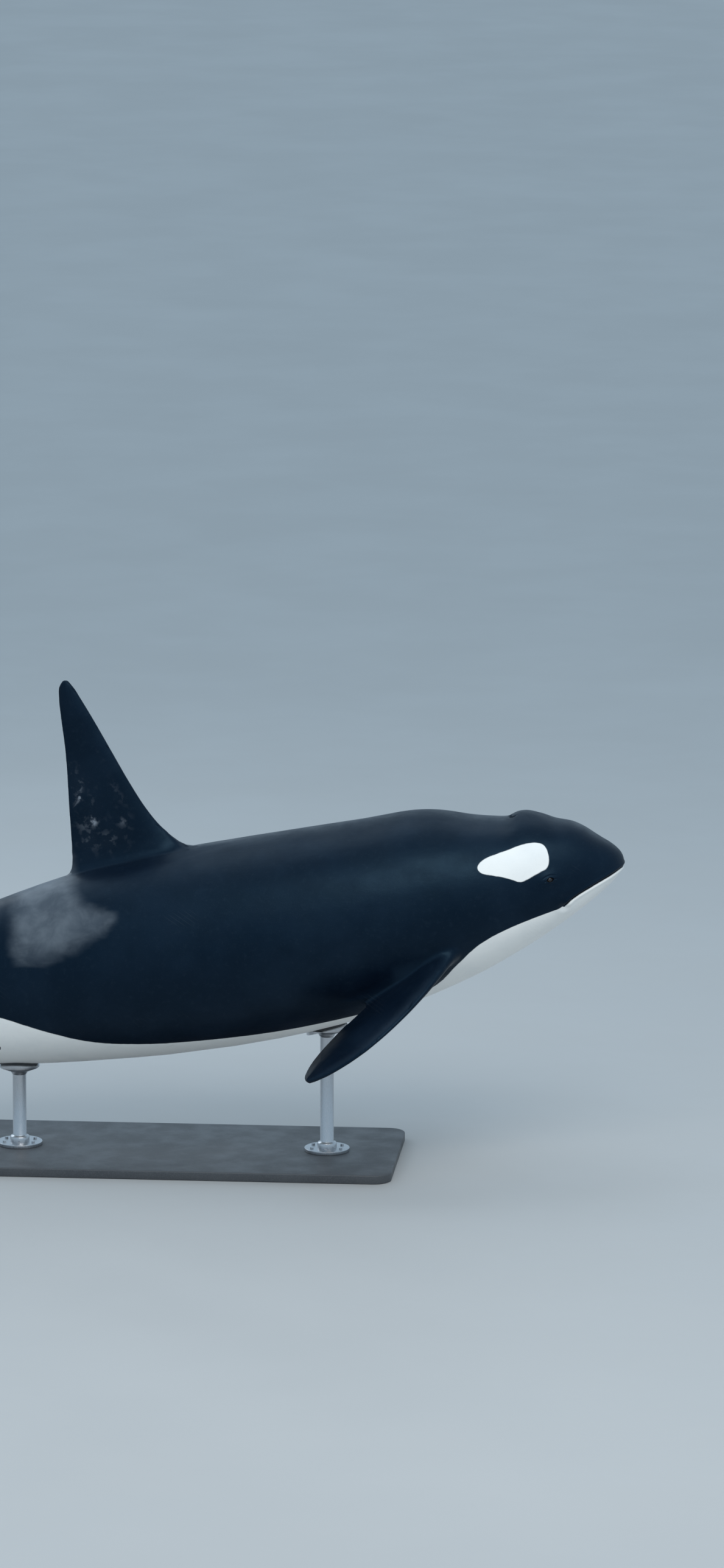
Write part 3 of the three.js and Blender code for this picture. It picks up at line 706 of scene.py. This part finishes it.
def polyline_distance(line, x, y):
    """Signed distance to a line (positive above it, the line running in +x) and the share along it."""
    best = np.full(len(x), np.inf)
    sign = np.ones(len(x))
    along = np.zeros(len(x))
    for k in range(len(line) - 1):
        a, b = line[k], line[k + 1]
        dx, dy = b - a
        d, t = to_segment(a, b, x, y)
        near = d < best
        best = np.where(near, d, best)
        sign = np.where(near, np.sign(dx * (y - a[1]) - dy * (x - a[0])), sign)
        along = np.where(near, (k + t) / (len(line) - 1), along)
    return best * sign, along


mouth_curve = smooth(MOUTH, 40)
mouth_line = metres(np.vstack([[-0.6, -0.5], mouth_curve]))
blowhole_arc = np.array([
    [0.05 * math.cos(math.radians(a)), 0.066 * math.sin(math.radians(a))] for a in range(-84, 85, 8)
])


def mouth_distance(station, level):
    """Signed distance to the line of the mouth, and the share along it."""
    return polyline_distance(mouth_line, metres(station), metres(level))


def eye_coordinates(points, hand):
    """Distances from an eye's middle, back along the skin, up it and out of it."""
    point, back, up, out = eye_frame(hand)
    d = points - point
    return d @ back, d @ up, d @ out


def near_features(points):
    """How near each point is to a fine form, in metres."""
    station, side, level = unplace(points)
    mouth, _ = mouth_distance(station, level)
    mouth = np.where(station < 8, np.abs(mouth), 1)
    middles = [eye_frame(hand)[0] for hand in (-1, 1)]
    eyes = [np.linalg.norm(points - middle, axis=1) - 0.05 for middle in middles]
    blowhole = place(BLOWHOLE_STATION, 0, back_level(BLOWHOLE_STATION, 0))
    blowhole = np.linalg.norm(points - blowhole, axis=1) - 0.09
    slit = np.where((station > 59) & (station < 72) & (level < 0), np.abs(side) - 0.01, 1)
    return np.minimum.reduce([mouth, *eyes, blowhole, slit])


def refine(skin, reach):
    """Divides the faces near the fine forms."""
    near = near_features(points_of(skin)) < reach
    bm = bmesh.new()
    bm.from_mesh(skin.data)
    bm.verts.ensure_lookup_table()
    edges = [e for e in bm.edges if near[e.verts[0].index] and near[e.verts[1].index]]
    bmesh.ops.subdivide_edges(bm, edges=edges, cuts=1, use_grid_fill=True)
    bmesh.ops.dissolve_degenerate(bm, dist=0.0001, edges=bm.edges)
    bmesh.ops.triangulate(bm, faces=[f for f in bm.faces if len(f.verts) > 3])
    bm.to_mesh(skin.data)
    bm.free()


def ridge(distance, middle, width, height):
    """A rounded ridge, or a groove where its height is negative, along a line."""
    return height * np.exp(-(((distance - middle) / width) ** 2))


def mouth_relief(points, station, level):
    """A groove between two full lips that ends in a small fold behind the corner."""
    d, along = mouth_distance(station, level)
    inside = (station < 8.2) * fall(along, 0.9, 1.0)
    lips = ridge(d, 0, 0.0045, -0.011) + ridge(d, 0.015, 0.011, 0.005) + ridge(d, -0.015, 0.012, 0.006)
    corner = place(MOUTH[-1][0], 0, MOUTH[-1][1])
    gap = np.hypot(points[:, 0] - corner[0], points[:, 2] - corner[2])
    fold = ridge(gap, 0, 0.026, -0.006) + ridge(gap, 0.045, 0.02, 0.003)
    return inside * lips + (station < 9) * fold


def eye_relief(points, hand):
    """A socket that the eyeball fills, lids round it and a soft fold above and below."""
    a, b, c = eye_coordinates(points, hand)
    close = (np.abs(c) < 0.1) & (np.hypot(a, b) < 0.2)
    opening = np.hypot(a / 0.024, b / (0.0145 * (1 - 0.25 * np.clip(a / 0.024, -1, 1) ** 2)))
    mound = 0.012 * np.exp(-((np.hypot(a / 0.066, (b - 0.004) / 0.05)) ** 2.4))
    upper_fold = ridge(np.hypot(a / 1.35, b + 0.02), 0.049, 0.0045, -0.003) * ramp(b, 0.008, 0.026)
    lower_fold = ridge(np.hypot(a / 1.4, b - 0.026), 0.055, 0.006, -0.0015) * ramp(-b, 0.008, 0.026)
    beside = ramp(np.abs(a), 0.02, 0.026) * fall(np.abs(a), 0.034, 0.046)
    corners = ridge(b + 0.1 * np.abs(a), 0, 0.004, -0.004) * beside
    lids = ridge(opening, 1.22, 0.16, 0.003)
    socket = -0.026 * fall(opening, 0.85, 1.06)
    return close * (mound + upper_fold + lower_fold + corners + lids + socket)


def blowhole_relief(station, side, level):
    """A crescent slit, open ahead, with a raised plug before it."""
    x = metres(station - BLOWHOLE_STATION)
    top = (level > 4) & (np.abs(x) < 0.3) & (np.abs(side) < 0.2)
    slit, along = polyline_distance(blowhole_arc, x, side)
    fade = np.sin(np.pi * np.clip(along, 0.02, 0.98)) ** 0.5
    rim = ridge(slit, 0, 0.007, -0.02) + ridge(np.abs(slit), 0.02, 0.01, 0.002)
    plug = 0.002 * np.exp(-((np.hypot(x / 0.045, side / 0.06)) ** 4))
    return top * (fade * rim + plug)


def belly_relief(station, side, level):
    """The genital slit and the anus, on the belly line."""
    depth = np.zeros(len(station))
    for start, end, deep in ((61.0, 64.6, 0.012), (68.6, 69.8, 0.010)):
        length = ramp(station, start, start + 0.6) * fall(station, end - 0.6, end)
        depth += length * (ridge(side, 0, 0.008, -deep) + ridge(np.abs(side), 0.024, 0.012, 0.004))
    return (level < 0) * depth


def carve(skin):
    """Lips and mouth line, lids and eye sockets, blowhole, and the slits under the belly."""
    points = points_of(skin)
    station, side, level = unplace(points)
    depth = mouth_relief(points, station, level) + eye_relief(points, -1) + eye_relief(points, 1)
    depth += blowhole_relief(station, side, level) + belly_relief(station, side, level)
    move_to(skin, points + normals_of(skin) * depth[:, None])


# Skin: markings as distances to named outlines, positive inside
def polygon_distance(outline, x, y):
    """Distance to a closed outline, positive inside it."""
    best = np.full(len(x), np.inf)
    inside = np.zeros(len(x), bool)
    for a, b in zip(np.roll(outline, 1, 0), outline):
        best = np.minimum(best, to_segment(a, b, x, y)[0])
        dx, dy = b - a
        crosses = (a[1] > y) != (b[1] > y)
        inside ^= crosses & (x < dx * (y - a[1]) / (dy if dy else 1e-12) + a[0])
    return np.where(inside, best, -best)


def unrolled(station, turn):
    """A place on the body's skin laid flat, in metres."""
    return metres(station), turn * girth_radius(station)


def turn_of_height(station, height):
    """Angle round the section of a height; past 1 or -1 it goes a fixed step over the middle line."""
    power = section_at(station)[4]
    clipped = np.clip(height, -1, 1)
    turn = np.arccos(np.sign(clipped) * np.abs(clipped) ** (power / 2))
    return turn - np.sign(height) * (np.abs(height) > 1) * 0.4


def outline_of(knots):
    """An outline of stations and heights, laid flat."""
    knots = np.asarray(knots, float)
    return np.stack(unrolled(knots[:, 0], turn_of_height(knots[:, 0], knots[:, 1])), 1)


def belly_white(station, level, beyond, x, y):
    """Depth in the white of jaw, throat, belly and flanks, which stops at the mouth and flippers."""
    upper_edge = smooth(VENTRAL_WHITE, 120)
    below = [[76 * t * t, -1.4] for t in np.linspace(1, 0, 60)]
    outline = outline_of(np.vstack([[[0, 1], [6, 1]], upper_edge, below]))
    upper_head = metres(np.vstack([[-1, -0.5], mouth_curve, [[6.6, -2.3], [8, 20], [-1, 20]]]))
    upper = polygon_distance(upper_head, metres(station), metres(level))
    white = np.minimum(polygon_distance(outline, x, y), -upper - 0.004)
    on_flipper = ramp(beyond, 0.03, 0.05) * (station > 14) * (station < 45) * (level < 0)
    return np.where(on_flipper > 0.5, -0.1, white)


def patch_white(x, y):
    patch = smooth(EYE_PATCH, 120, closed=True)
    patch = np.stack([patch[:, 0], height_of(patch[:, 0], patch[:, 1])], 1)
    return polygon_distance(outline_of(patch), x, y)


def fluke_white(station, side, normals):
    """Depth in the white underside of a fluke, which stops short of its dark rim."""
    edge = np.vstack([smooth(FLUKE_FRONT, 60), smooth(FLUKE_BACK, 60)[::-1]]) * [1, BODY_LENGTH / 100]
    wobble = 0.012 * np.sin(8 * side + 2) + 0.008 * np.sin(2.2 * station + 9 * side)
    inside = polygon_distance(edge, np.abs(side), metres(station)) - 0.055 + wobble
    under = (station > 89) & (np.abs(side) > 0.09) & (-normals[:, 2] > 0.2)
    return np.where(under, inside, -0.1)


def fin_marks(station, side, level):
    marks = np.zeros(len(station))
    for s, l, radius, strength in FIN_MARKS:
        gap = metres(np.hypot(station - s, level - l))
        marks = np.maximum(marks, strength * np.exp(-((gap / radius) ** 2)))
    return marks * (np.abs(side) < 0.2)


def markings(skin):
    """Writes each point's depth in the white and the saddle, and its part in the small marks.

    Returns how near each point is to the edge of a marking, in metres."""
    points = points_of(skin)
    station, side, level = unplace(points)
    x, y = unrolled(station, turn_of(station, side, level))
    beyond = outside_body(station, side, level)
    white = np.maximum.reduce([
        belly_white(station, level, beyond, x, y),
        patch_white(x, y),
        fluke_white(station, side, normals_of(skin)),
    ])
    saddle = polygon_distance(outline_of(smooth(SADDLE, 60, closed=True)), x, y)
    saddle = np.where(beyond > 0.25, -0.2, saddle)
    marks = fin_marks(station, side, level)
    d, along = mouth_distance(station, level)
    mouth = np.exp(-((d / 0.005) ** 2)) * fall(along, 0.9, 1.0)
    write(skin, "white", white)
    write(skin, "saddle", saddle)
    write(skin, "marks", marks)
    write(skin, "mouth", np.where(station < 8, mouth, 0))
    return np.minimum.reduce([np.abs(white), np.abs(saddle) + 0.02, np.where(marks > 0.05, 0, 1)])


def write(skin, name, values):
    """Keeps a value for each point, for the materials to read."""
    attribute = skin.data.attributes.get(name) or skin.data.attributes.new(name, "FLOAT", "POINT")
    attribute.data.foreach_set("value", np.asarray(values, np.float32))


# Materials
class Nodes:
    """A small helper that adds nodes to a material and joins them."""

    def __init__(self, name):
        self.material = bpy.data.materials.new(name)
        self.material.use_nodes = True
        self.tree = self.material.node_tree
        self.shader = self.tree.nodes["Principled BSDF"]

    def set(self, **values):
        for key, value in values.items():
            self.shader.inputs[key.replace("_", " ")].default_value = value

    def add(self, kind, inputs=(), **settings):
        node = self.tree.nodes.new("ShaderNode" + kind)
        for key, value in settings.items():
            setattr(node, key, value)
        for key, value in dict(inputs).items():
            socket = node.inputs[key]
            if isinstance(value, bpy.types.NodeSocket):
                self.tree.links.new(value, socket)
            else:
                socket.default_value = value
        return node

    def attribute(self, name):
        return self.add("Attribute", attribute_name=name).outputs["Fac"]

    def place(self):
        return self.add("TexCoord").outputs["Object"]

    def stretched(self, scale):
        return self.add("Mapping", {"Vector": self.place(), "Scale": scale}).outputs[0]

    def noise(self, scale, detail=4, rough=0.55, vector=None, distortion=0.0):
        return self.add("TexNoise", {
            "Vector": vector or self.place(), "Scale": scale, "Detail": detail, "Roughness": rough,
            "Distortion": distortion}).outputs["Fac"]

    def math(self, operation, a, b=0.0, clamp=False):
        return self.add("Math", {0: a, 1: b}, operation=operation, use_clamp=clamp).outputs[0]

    def times(self, a, b, clamp=False):
        return self.math("MULTIPLY", a, b, clamp)

    def range(self, value, low, high, start=0.0, end=1.0):
        return self.add("MapRange", {
            "Value": value, "From Min": low, "From Max": high, "To Min": start, "To Max": end,
        }, interpolation_type="SMOOTHSTEP").outputs["Result"]

    def mix(self, factor, a, b):
        return self.add("Mix", {0: factor, 6: a, 7: b}, data_type="RGBA").outputs[2]

    def tones(self, noise, low, high, pair):
        return self.mix(self.range(noise, low, high), *pair)

    def bump(self, height, distance, strength=1.0, normal=None):
        inputs = {"Height": height, "Distance": distance, "Strength": strength}
        if normal:
            inputs["Normal"] = normal
        return self.add("Bump", inputs).outputs[0]

    def link(self, output, name):
        self.tree.links.new(output, self.shader.inputs[name])


def rake_marks(n):
    """Faint, thin parallel lines, only here and there."""
    waves = n.add("TexWave", {
        "Vector": n.stretched((1.5, 0.6, 2.2)), "Scale": 9.0, "Distortion": 0.5, "Detail": 1.0,
        "Detail Scale": 0.4}, wave_type="BANDS", bands_direction="DIAGONAL").outputs["Fac"]
    here = n.range(n.noise(2.4, 2, vector=n.stretched((0.8, 1, 1.3))), 0.64, 0.72)
    return n.times(n.times(n.range(waves, 0.93, 0.985), here), 0.15)


def black_skin(n, scratches):
    """Black with paler clouds, rake marks and the pale marks on the fin."""
    black = n.tones(n.noise(3.0, 6), 0.35, 0.7, BLACK)
    black = n.mix(n.range(n.noise(26, 5, 0.6), 0.52, 0.75, 0, 0.35), black, CLOUD)
    black = n.mix(scratches, black, SCRATCH)
    broken = n.times(n.attribute("marks"), n.range(n.noise(20, 3), 0.5, 0.64, 0.05, 1))
    solid = n.math("SUBTRACT", n.attribute("marks"), 1, clamp=True)
    return n.mix(n.math("MAXIMUM", broken, solid, clamp=True), black, FIN_MARK)


def uneven(n, name, noise, reach):
    """A marking's depth, its edge moved a little in and out."""
    return n.math("ADD", n.attribute(name), n.times(n.math("SUBTRACT", noise, 0.5), reach))


def skin_material():
    n = Nodes("wet_skin")
    scratches = rake_marks(n)
    streaks = n.noise(4.5, 5, 0.55, vector=n.stretched((1, 1, 2)), distortion=0.3)
    grey_share = n.range(uneven(n, "saddle", streaks, 0.1), -0.06, 0.09, 0, 0.85)
    grey = n.tones(n.noise(6, 5, 0.55, distortion=0.4), 0.3, 0.72, GREY)
    white_share = n.range(uneven(n, "white", n.noise(22, 3), 0.006), -0.003, 0.003)
    white = n.tones(n.noise(5, 5), 0.35, 0.75, WHITE)
    white = n.mix(n.times(scratches, 0.35), white, (0.5, 0.52, 0.54, 1))
    base = n.mix(white_share, n.mix(grey_share, black_skin(n, scratches), grey), white)
    speckle = n.range(n.noise(120, 2, 0.5), 0.63, 0.72)
    base = n.mix(n.times(speckle, 0.05), base, SPECKLE)
    base = n.mix(n.times(n.attribute("mouth"), 0.85, clamp=True), base, MOUTH_LINE)
    n.link(base, "Base Color")

    wet = n.range(n.noise(4.5, 5, 0.6), 0.3, 0.75, 0.34, 0.5)
    n.link(n.math("ADD", wet, n.times(white_share, 0.05)), "Roughness")
    fine = n.bump(n.noise(160, 3), 0.0006, 0.5)
    ripple = n.bump(n.noise(9, 4, vector=n.stretched((0.5, 1, 1))), 0.006, 0.35, fine)
    n.link(n.bump(scratches, -0.0008, 0.6, ripple), "Normal")
    n.set(Specular_IOR_Level=0.22, Specular_Tint=(0.35, 0.7, 1, 1))
    n.set(Coat_Weight=0.02, Coat_Roughness=0.2, Coat_IOR=1.33)
    return n.material


def eye_material():
    n = Nodes("eye_gloss")
    oval = n.stretched((1, 1.25, 0))
    radius = n.add("VectorMath", {0: oval}, operation="LENGTH").outputs["Value"]
    white = n.mix(n.noise(240, 5, 0.7), (0.022, 0.017, 0.016, 1), (0.012, 0.01, 0.01, 1))
    iris = n.mix(n.noise(420, 4), (0.016, 0.009, 0.007, 1), (0.008, 0.005, 0.004, 1))
    eye = n.mix(n.range(radius, 0.0165, 0.0185), iris, white)
    eye = n.mix(n.range(radius, 0.0085, 0.0105), (0.002, 0.003, 0.006, 1), eye)
    n.link(eye, "Base Color")
    n.set(Roughness=0.16, Coat_Weight=0.6, Coat_Roughness=0.04, IOR=1.36)
    return n.material


def plinth_material():
    n = Nodes("plinth_paint")
    fleck = n.range(n.noise(190, 3, 0.6), 0.45, 0.65)
    tone = n.mix(fleck, (0.052, 0.056, 0.062, 1), (0.075, 0.08, 0.087, 1))
    tone = n.mix(n.range(n.noise(2.2, 6), 0.35, 0.75, 0, 0.5), tone, (0.09, 0.094, 0.1, 1))
    n.link(tone, "Base Color")
    n.link(n.range(n.noise(5, 6), 0.3, 0.7, 0.42, 0.58), "Roughness")
    n.link(n.bump(n.noise(420, 2), 0.0004, 0.6), "Normal")
    return n.material


def steel_material():
    n = Nodes("stand_steel")
    grain = n.noise(30, 6, 0.7, vector=n.stretched((22, 22, 0.7)))
    n.link(n.mix(grain, (0.42, 0.43, 0.45, 1), (0.6, 0.61, 0.63, 1)), "Base Color")
    n.link(n.range(grain, 0.3, 0.7, 0.24, 0.4), "Roughness")
    n.link(n.bump(grain, 0.0003, 0.3), "Normal")
    n.set(Metallic=1.0)
    return n.material


def felt_material():
    n = Nodes("pad_felt")
    fibre = n.noise(380, 5, 0.75)
    n.link(n.mix(fibre, (0.02, 0.022, 0.025, 1), (0.06, 0.063, 0.068, 1)), "Base Color")
    n.link(n.bump(fibre, 0.0015, 0.8), "Normal")
    n.set(Roughness=0.92, Sheen_Weight=0.25)
    return n.material


def floor_material():
    n = Nodes("pale_floor")
    n.link(n.mix(n.noise(0.35, 5), (0.47, 0.465, 0.455, 1), (0.51, 0.505, 0.495, 1)), "Base Color")
    n.link(n.range(n.noise(0.8, 4), 0.3, 0.7, 0.5, 0.62), "Roughness")
    return n.material


# Pieces
def on_rims(points, normals):
    """Which points lie round the thin edges of the fins."""
    station, side, level = unplace(points)
    beyond = outside_body(station, side, level)
    rims = (level > 12) & (np.abs(side) < 0.15) & (np.abs(normals[:, 1]) < 0.8)
    rims |= (station > 91) & (np.abs(side) > 0.15) & (np.abs(normals[:, 2]) < 0.8)
    for hand in (-1, 1):
        blade = flipper(hand)
        out = blade.carry(0.0, 0.0, 1.0) - blade.carry(0.0, 0.0, 0.0)
        on_flipper = (station < 45) & (level < 0) & (side * hand > 0.3) & (beyond > 0.04)
        rims |= on_flipper & (np.abs(normals @ out) < 0.8)
    return rims


def thin_out(skin):
    """Fewer triangles on plain skin; head, rims of fins and edges of markings keep theirs."""
    triangles = sum(len(p.vertices) - 2 for p in skin.data.polygons)
    points = points_of(skin)
    keep = np.maximum.reduce([
        fall(near_features(points), 0.04, 0.08),
        fall(markings(skin), 0.010, 0.035),
        0.5 * fall(unplace(points)[0], 10, 22),
        0.9 * on_rims(points, normals_of(skin)),
    ])
    weight = np.round(1 - KEPT_SHARE * keep, 1)
    group = skin.vertex_groups.new(name="thin_out")
    for value in np.unique(weight):
        group.add(np.nonzero(weight == value)[0].tolist(), float(value), "REPLACE")
    evaluated(skin, "DECIMATE", ratio=SKIN_TRIANGLES / triangles, vertex_group="thin_out")


def add_skin():
    skin = whole_skin()
    thin_out(skin)
    for reach in REFINE_REACHES:
        refine(skin, reach)
    settle_body(skin, root_zone(skin))
    carve(skin)
    markings(skin)
    skin.data.materials.clear()
    dress(
        skin, skin_material(), "skin_black", "head", "lower_jaw", "throat", "blowhole_plug", "shoulders",
        "chest", "midbody", "belly", "hindbody", "hindbelly", "tail_stock", "eye_patch_right",
        "eye_patch_left", "saddle_patch", "dorsal_fin", "flipper_right", "flipper_left", "fluke_right",
        "fluke_left", crease=None,
    )


def add_eye(name, hand, material):
    """An eyeball with a slightly domed cornea, its own Z axis pointing out of the head."""
    bm = bmesh.new()
    bmesh.ops.create_uvsphere(bm, u_segments=48, v_segments=32, radius=EYE_RADIUS)
    for v in bm.verts:
        bulge = max(0.0, v.co.z / EYE_RADIUS - 0.8) / 0.2
        v.co *= 1 + 0.05 * bulge * bulge * (3 - 2 * bulge)
    eye = from_bmesh(name, bm)
    _, back, _, out = eye_frame(hand)
    along = hand * back
    basis = Matrix((along, np.cross(out, along), out)).transposed().to_4x4()
    eye.matrix_world = Matrix.Translation(Vector(eye_centre(hand))) @ basis
    dress(eye, material, "eye_gloss", name, crease=None)


turns = np.linspace(0, 2 * math.pi, SIDES, endpoint=False)


def ring(x, radius, height):
    """A ring about an upright line through x."""
    return np.stack([x + radius * np.cos(turns), radius * np.sin(turns), np.full(SIDES, height)], 1)


def lathe(name, profile, x):
    """A turned piece about an upright line through x: [radius, height] points from bottom to top."""
    rings = [ring(x, radius, z) for radius, z in profile]
    return loft(name, [[x, 0, profile[0][1]], *rings, [x, 0, profile[-1][1]]])


def dress(piece, material, slot, *nodes, crease=40):
    """Shading, material, a parent under the root body and the hiding of the solids it replaces; crease
    is in degrees.
    """
    piece.data.polygons.foreach_set("use_smooth", [True] * len(piece.data.polygons))
    if crease:
        piece.data.set_sharp_from_angle(angle=math.radians(crease))
    piece.data.materials.append(material)
    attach(piece, "root")
    if nodes:
        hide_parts(*nodes)


def add_base(material):
    """A flat plate with rounded corners and a rounded edge."""
    low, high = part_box("stand_base")
    x, y = (high.x - low.x) / 2 - PLATE_CORNER, (high.y - low.y) / 2 - PLATE_CORNER
    cx = (low.x + high.x) / 2 + np.where(np.cos(turns) >= 0, x, -x)
    corners = np.stack([cx, np.where(np.sin(turns) >= 0, y, -y), np.zeros(SIDES)], 1)
    rings = []
    for a in [math.radians(a) for a in range(-90, 91, 15)]:
        reach = PLATE_CORNER - PLATE_EDGE * (1 - math.cos(a))
        z = (low.z + PLATE_EDGE if a < 0 else high.z - PLATE_EDGE) + PLATE_EDGE * math.sin(a)
        rings.append(ring(0, reach, z) + corners)
    dress(loft("stand_plate", rings), material, "plinth", "stand_base")


def rounded(radius, bottom, top, edge):
    """Profile of a disc or bar whose rims are rounded."""
    turn = [math.radians(a) for a in range(0, 91, 15)]
    low = [[radius - edge + edge * math.sin(a), bottom + edge - edge * math.cos(a)] for a in turn]
    high = [[radius - edge + edge * math.cos(a), top - edge + edge * math.sin(a)] for a in turn]
    return low + high


def bolt_heads(name, x, z, circle, count, material):
    """Low hexagon heads on a circle, joined as one piece."""
    bm = bmesh.new()
    for k in range(count):
        a = 2 * math.pi * (k + 0.5) / count
        at = Matrix.Translation((x + circle * math.cos(a), circle * math.sin(a), z + 0.005))
        head = bmesh.ops.create_cone(
            bm, cap_ends=True, segments=6, radius1=0.013, radius2=0.0125, depth=0.011, matrix=at)
        edges = list(dict.fromkeys(e for v in head["verts"] for e in v.link_edges))
        bmesh.ops.bevel(bm, geom=edges, offset=0.001, segments=2, affect="EDGES")
    dress(from_bmesh(name, bm), material, "stand_steel", crease=35)


def draped(x, radius, lift):
    """A ring that lies this far above the underside of the body."""
    points = ring(x, radius, SNOUT_HEIGHT - 1.2)
    for _ in range(6):
        station, side, _ = unplace(points)
        middle, _, down, half, power, _ = section_at(station)
        across = np.minimum(1, np.abs(side / half))
        level = middle - down * (1 - across**power) ** (1 / power)
        points[:, 2] = place(station, side, level)[:, 2]
    return points + [0, 0, lift]


def add_pad(end, steel, felt):
    """A turned cup under the belly; its felt top lies along the skin."""
    low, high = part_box(f"stand_pad_{end}")
    x, radius = (low.x + high.x) / 2, (high.x - low.x) / 2
    centre = lambda lift: draped(x, 0, lift)[:1]
    foot = [ring(x, radius * share, low.z + rise) for share, rise in CUP_FOOT]
    top = [draped(x, radius * share, -FELT - drop) for share, drop in CUP_TOP]
    cup = loft(f"pad_{end}", [[x, 0, low.z], *foot, *top, centre(-FELT)])
    dress(cup, steel, "stand_steel", f"stand_pad_{end}")
    rings = [draped(x, radius * share, lift) for share, lift in LINING]
    lining = loft(f"pad_{end}_lining", [centre(LINING[0][1]), *rings, centre(LINING[-1][1])])
    dress(lining, felt, "plinth", crease=None)


def add_stand():
    steel, felt = steel_material(), felt_material()
    add_base(plinth_material())
    for end in ("front", "rear"):
        low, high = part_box(f"stand_flange_{end}")
        x, radius = (low.x + high.x) / 2, (high.x - low.x) / 2
        flange = lathe(f"flange_{end}", rounded(radius, low.z, high.z, 0.003), x)
        dress(flange, steel, "stand_steel", f"stand_flange_{end}")
        bolt_heads(f"bolts_{end}", x, high.z, radius * 0.74, 6, steel)
        low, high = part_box(f"stand_rod_{end}")
        foot = [[r, low.z + rise] for r, rise in ROD_FOOT]
        top = [[r, high.z - drop] for r, drop in ROD_TOP]
        dress(lathe(f"rod_{end}", foot + top, x), steel, "stand_steel", f"stand_rod_{end}")
        add_pad(end, steel, felt)


def add_floor():
    corners = [(FLOOR_REACH * x, FLOOR_REACH * y, 0) for x, y in ((-1, -1), (1, -1), (1, 1), (-1, 1))]
    floor = from_points("floor", corners, [(0, 1, 2, 3)])
    floor.location.z = -0.001  # just under the plate
    floor.data.materials.append(floor_material())


def add_area_light(name, at, aim, size, power, colour):
    data = bpy.data.lights.new(name, "AREA")
    data.shape = "RECTANGLE"
    data.size, data.size_y = size
    data.energy = power
    data.color = colour
    light = add_object(name, data)
    light.location = at
    light.rotation_euler = (Vector(aim) - Vector(at)).to_track_quat("-Z", "Y").to_euler()


def add_lights():
    world = bpy.data.worlds.new("studio")
    world.use_nodes = True
    background = world.node_tree.nodes["Background"]
    background.inputs["Color"].default_value = WORLD_COLOUR
    background.inputs["Strength"].default_value = WORLD_STRENGTH
    bpy.context.scene.world = world
    bpy.context.scene.view_settings.view_transform = "Standard"
    for light in LIGHTS:
        add_area_light(*light)


def add_camera():
    azimuth, elevation = math.radians(CAMERA_AZIMUTH), math.radians(CAMERA_ELEVATION)
    back = Vector((
        math.sin(azimuth) * math.cos(elevation), -math.cos(azimuth) * math.cos(elevation),
        math.sin(elevation),
    ))
    right = Vector((math.cos(azimuth), math.sin(azimuth), 0))
    up = back.cross(right)
    snout = Vector(place(0, 0, 0))
    aside = (SNOUT_PIXEL[0] - IMAGE_WIDTH / 2) / PIXELS_PER_METRE
    below = (SNOUT_PIXEL[1] - IMAGE_HEIGHT / 2) / PIXELS_PER_METRE
    aim = snout - aside * right + below * up
    data = bpy.data.cameras.new("camera")
    data.sensor_fit = "VERTICAL"
    data.sensor_height = SENSOR
    data.lens = PIXELS_PER_METRE * CAMERA_DISTANCE / IMAGE_HEIGHT * SENSOR
    data.clip_end = 500
    camera = add_object("camera", data)
    camera.location = aim + CAMERA_DISTANCE * back
    camera.rotation_euler = Matrix((right, up, back)).transposed().to_euler()
    bpy.context.scene.camera = camera


add_camera()
add_skin()
eyes = eye_material()
add_eye("eye_right", -1, eyes)
add_eye("eye_left", 1, eyes)
add_stand()
add_floor()
add_lights()
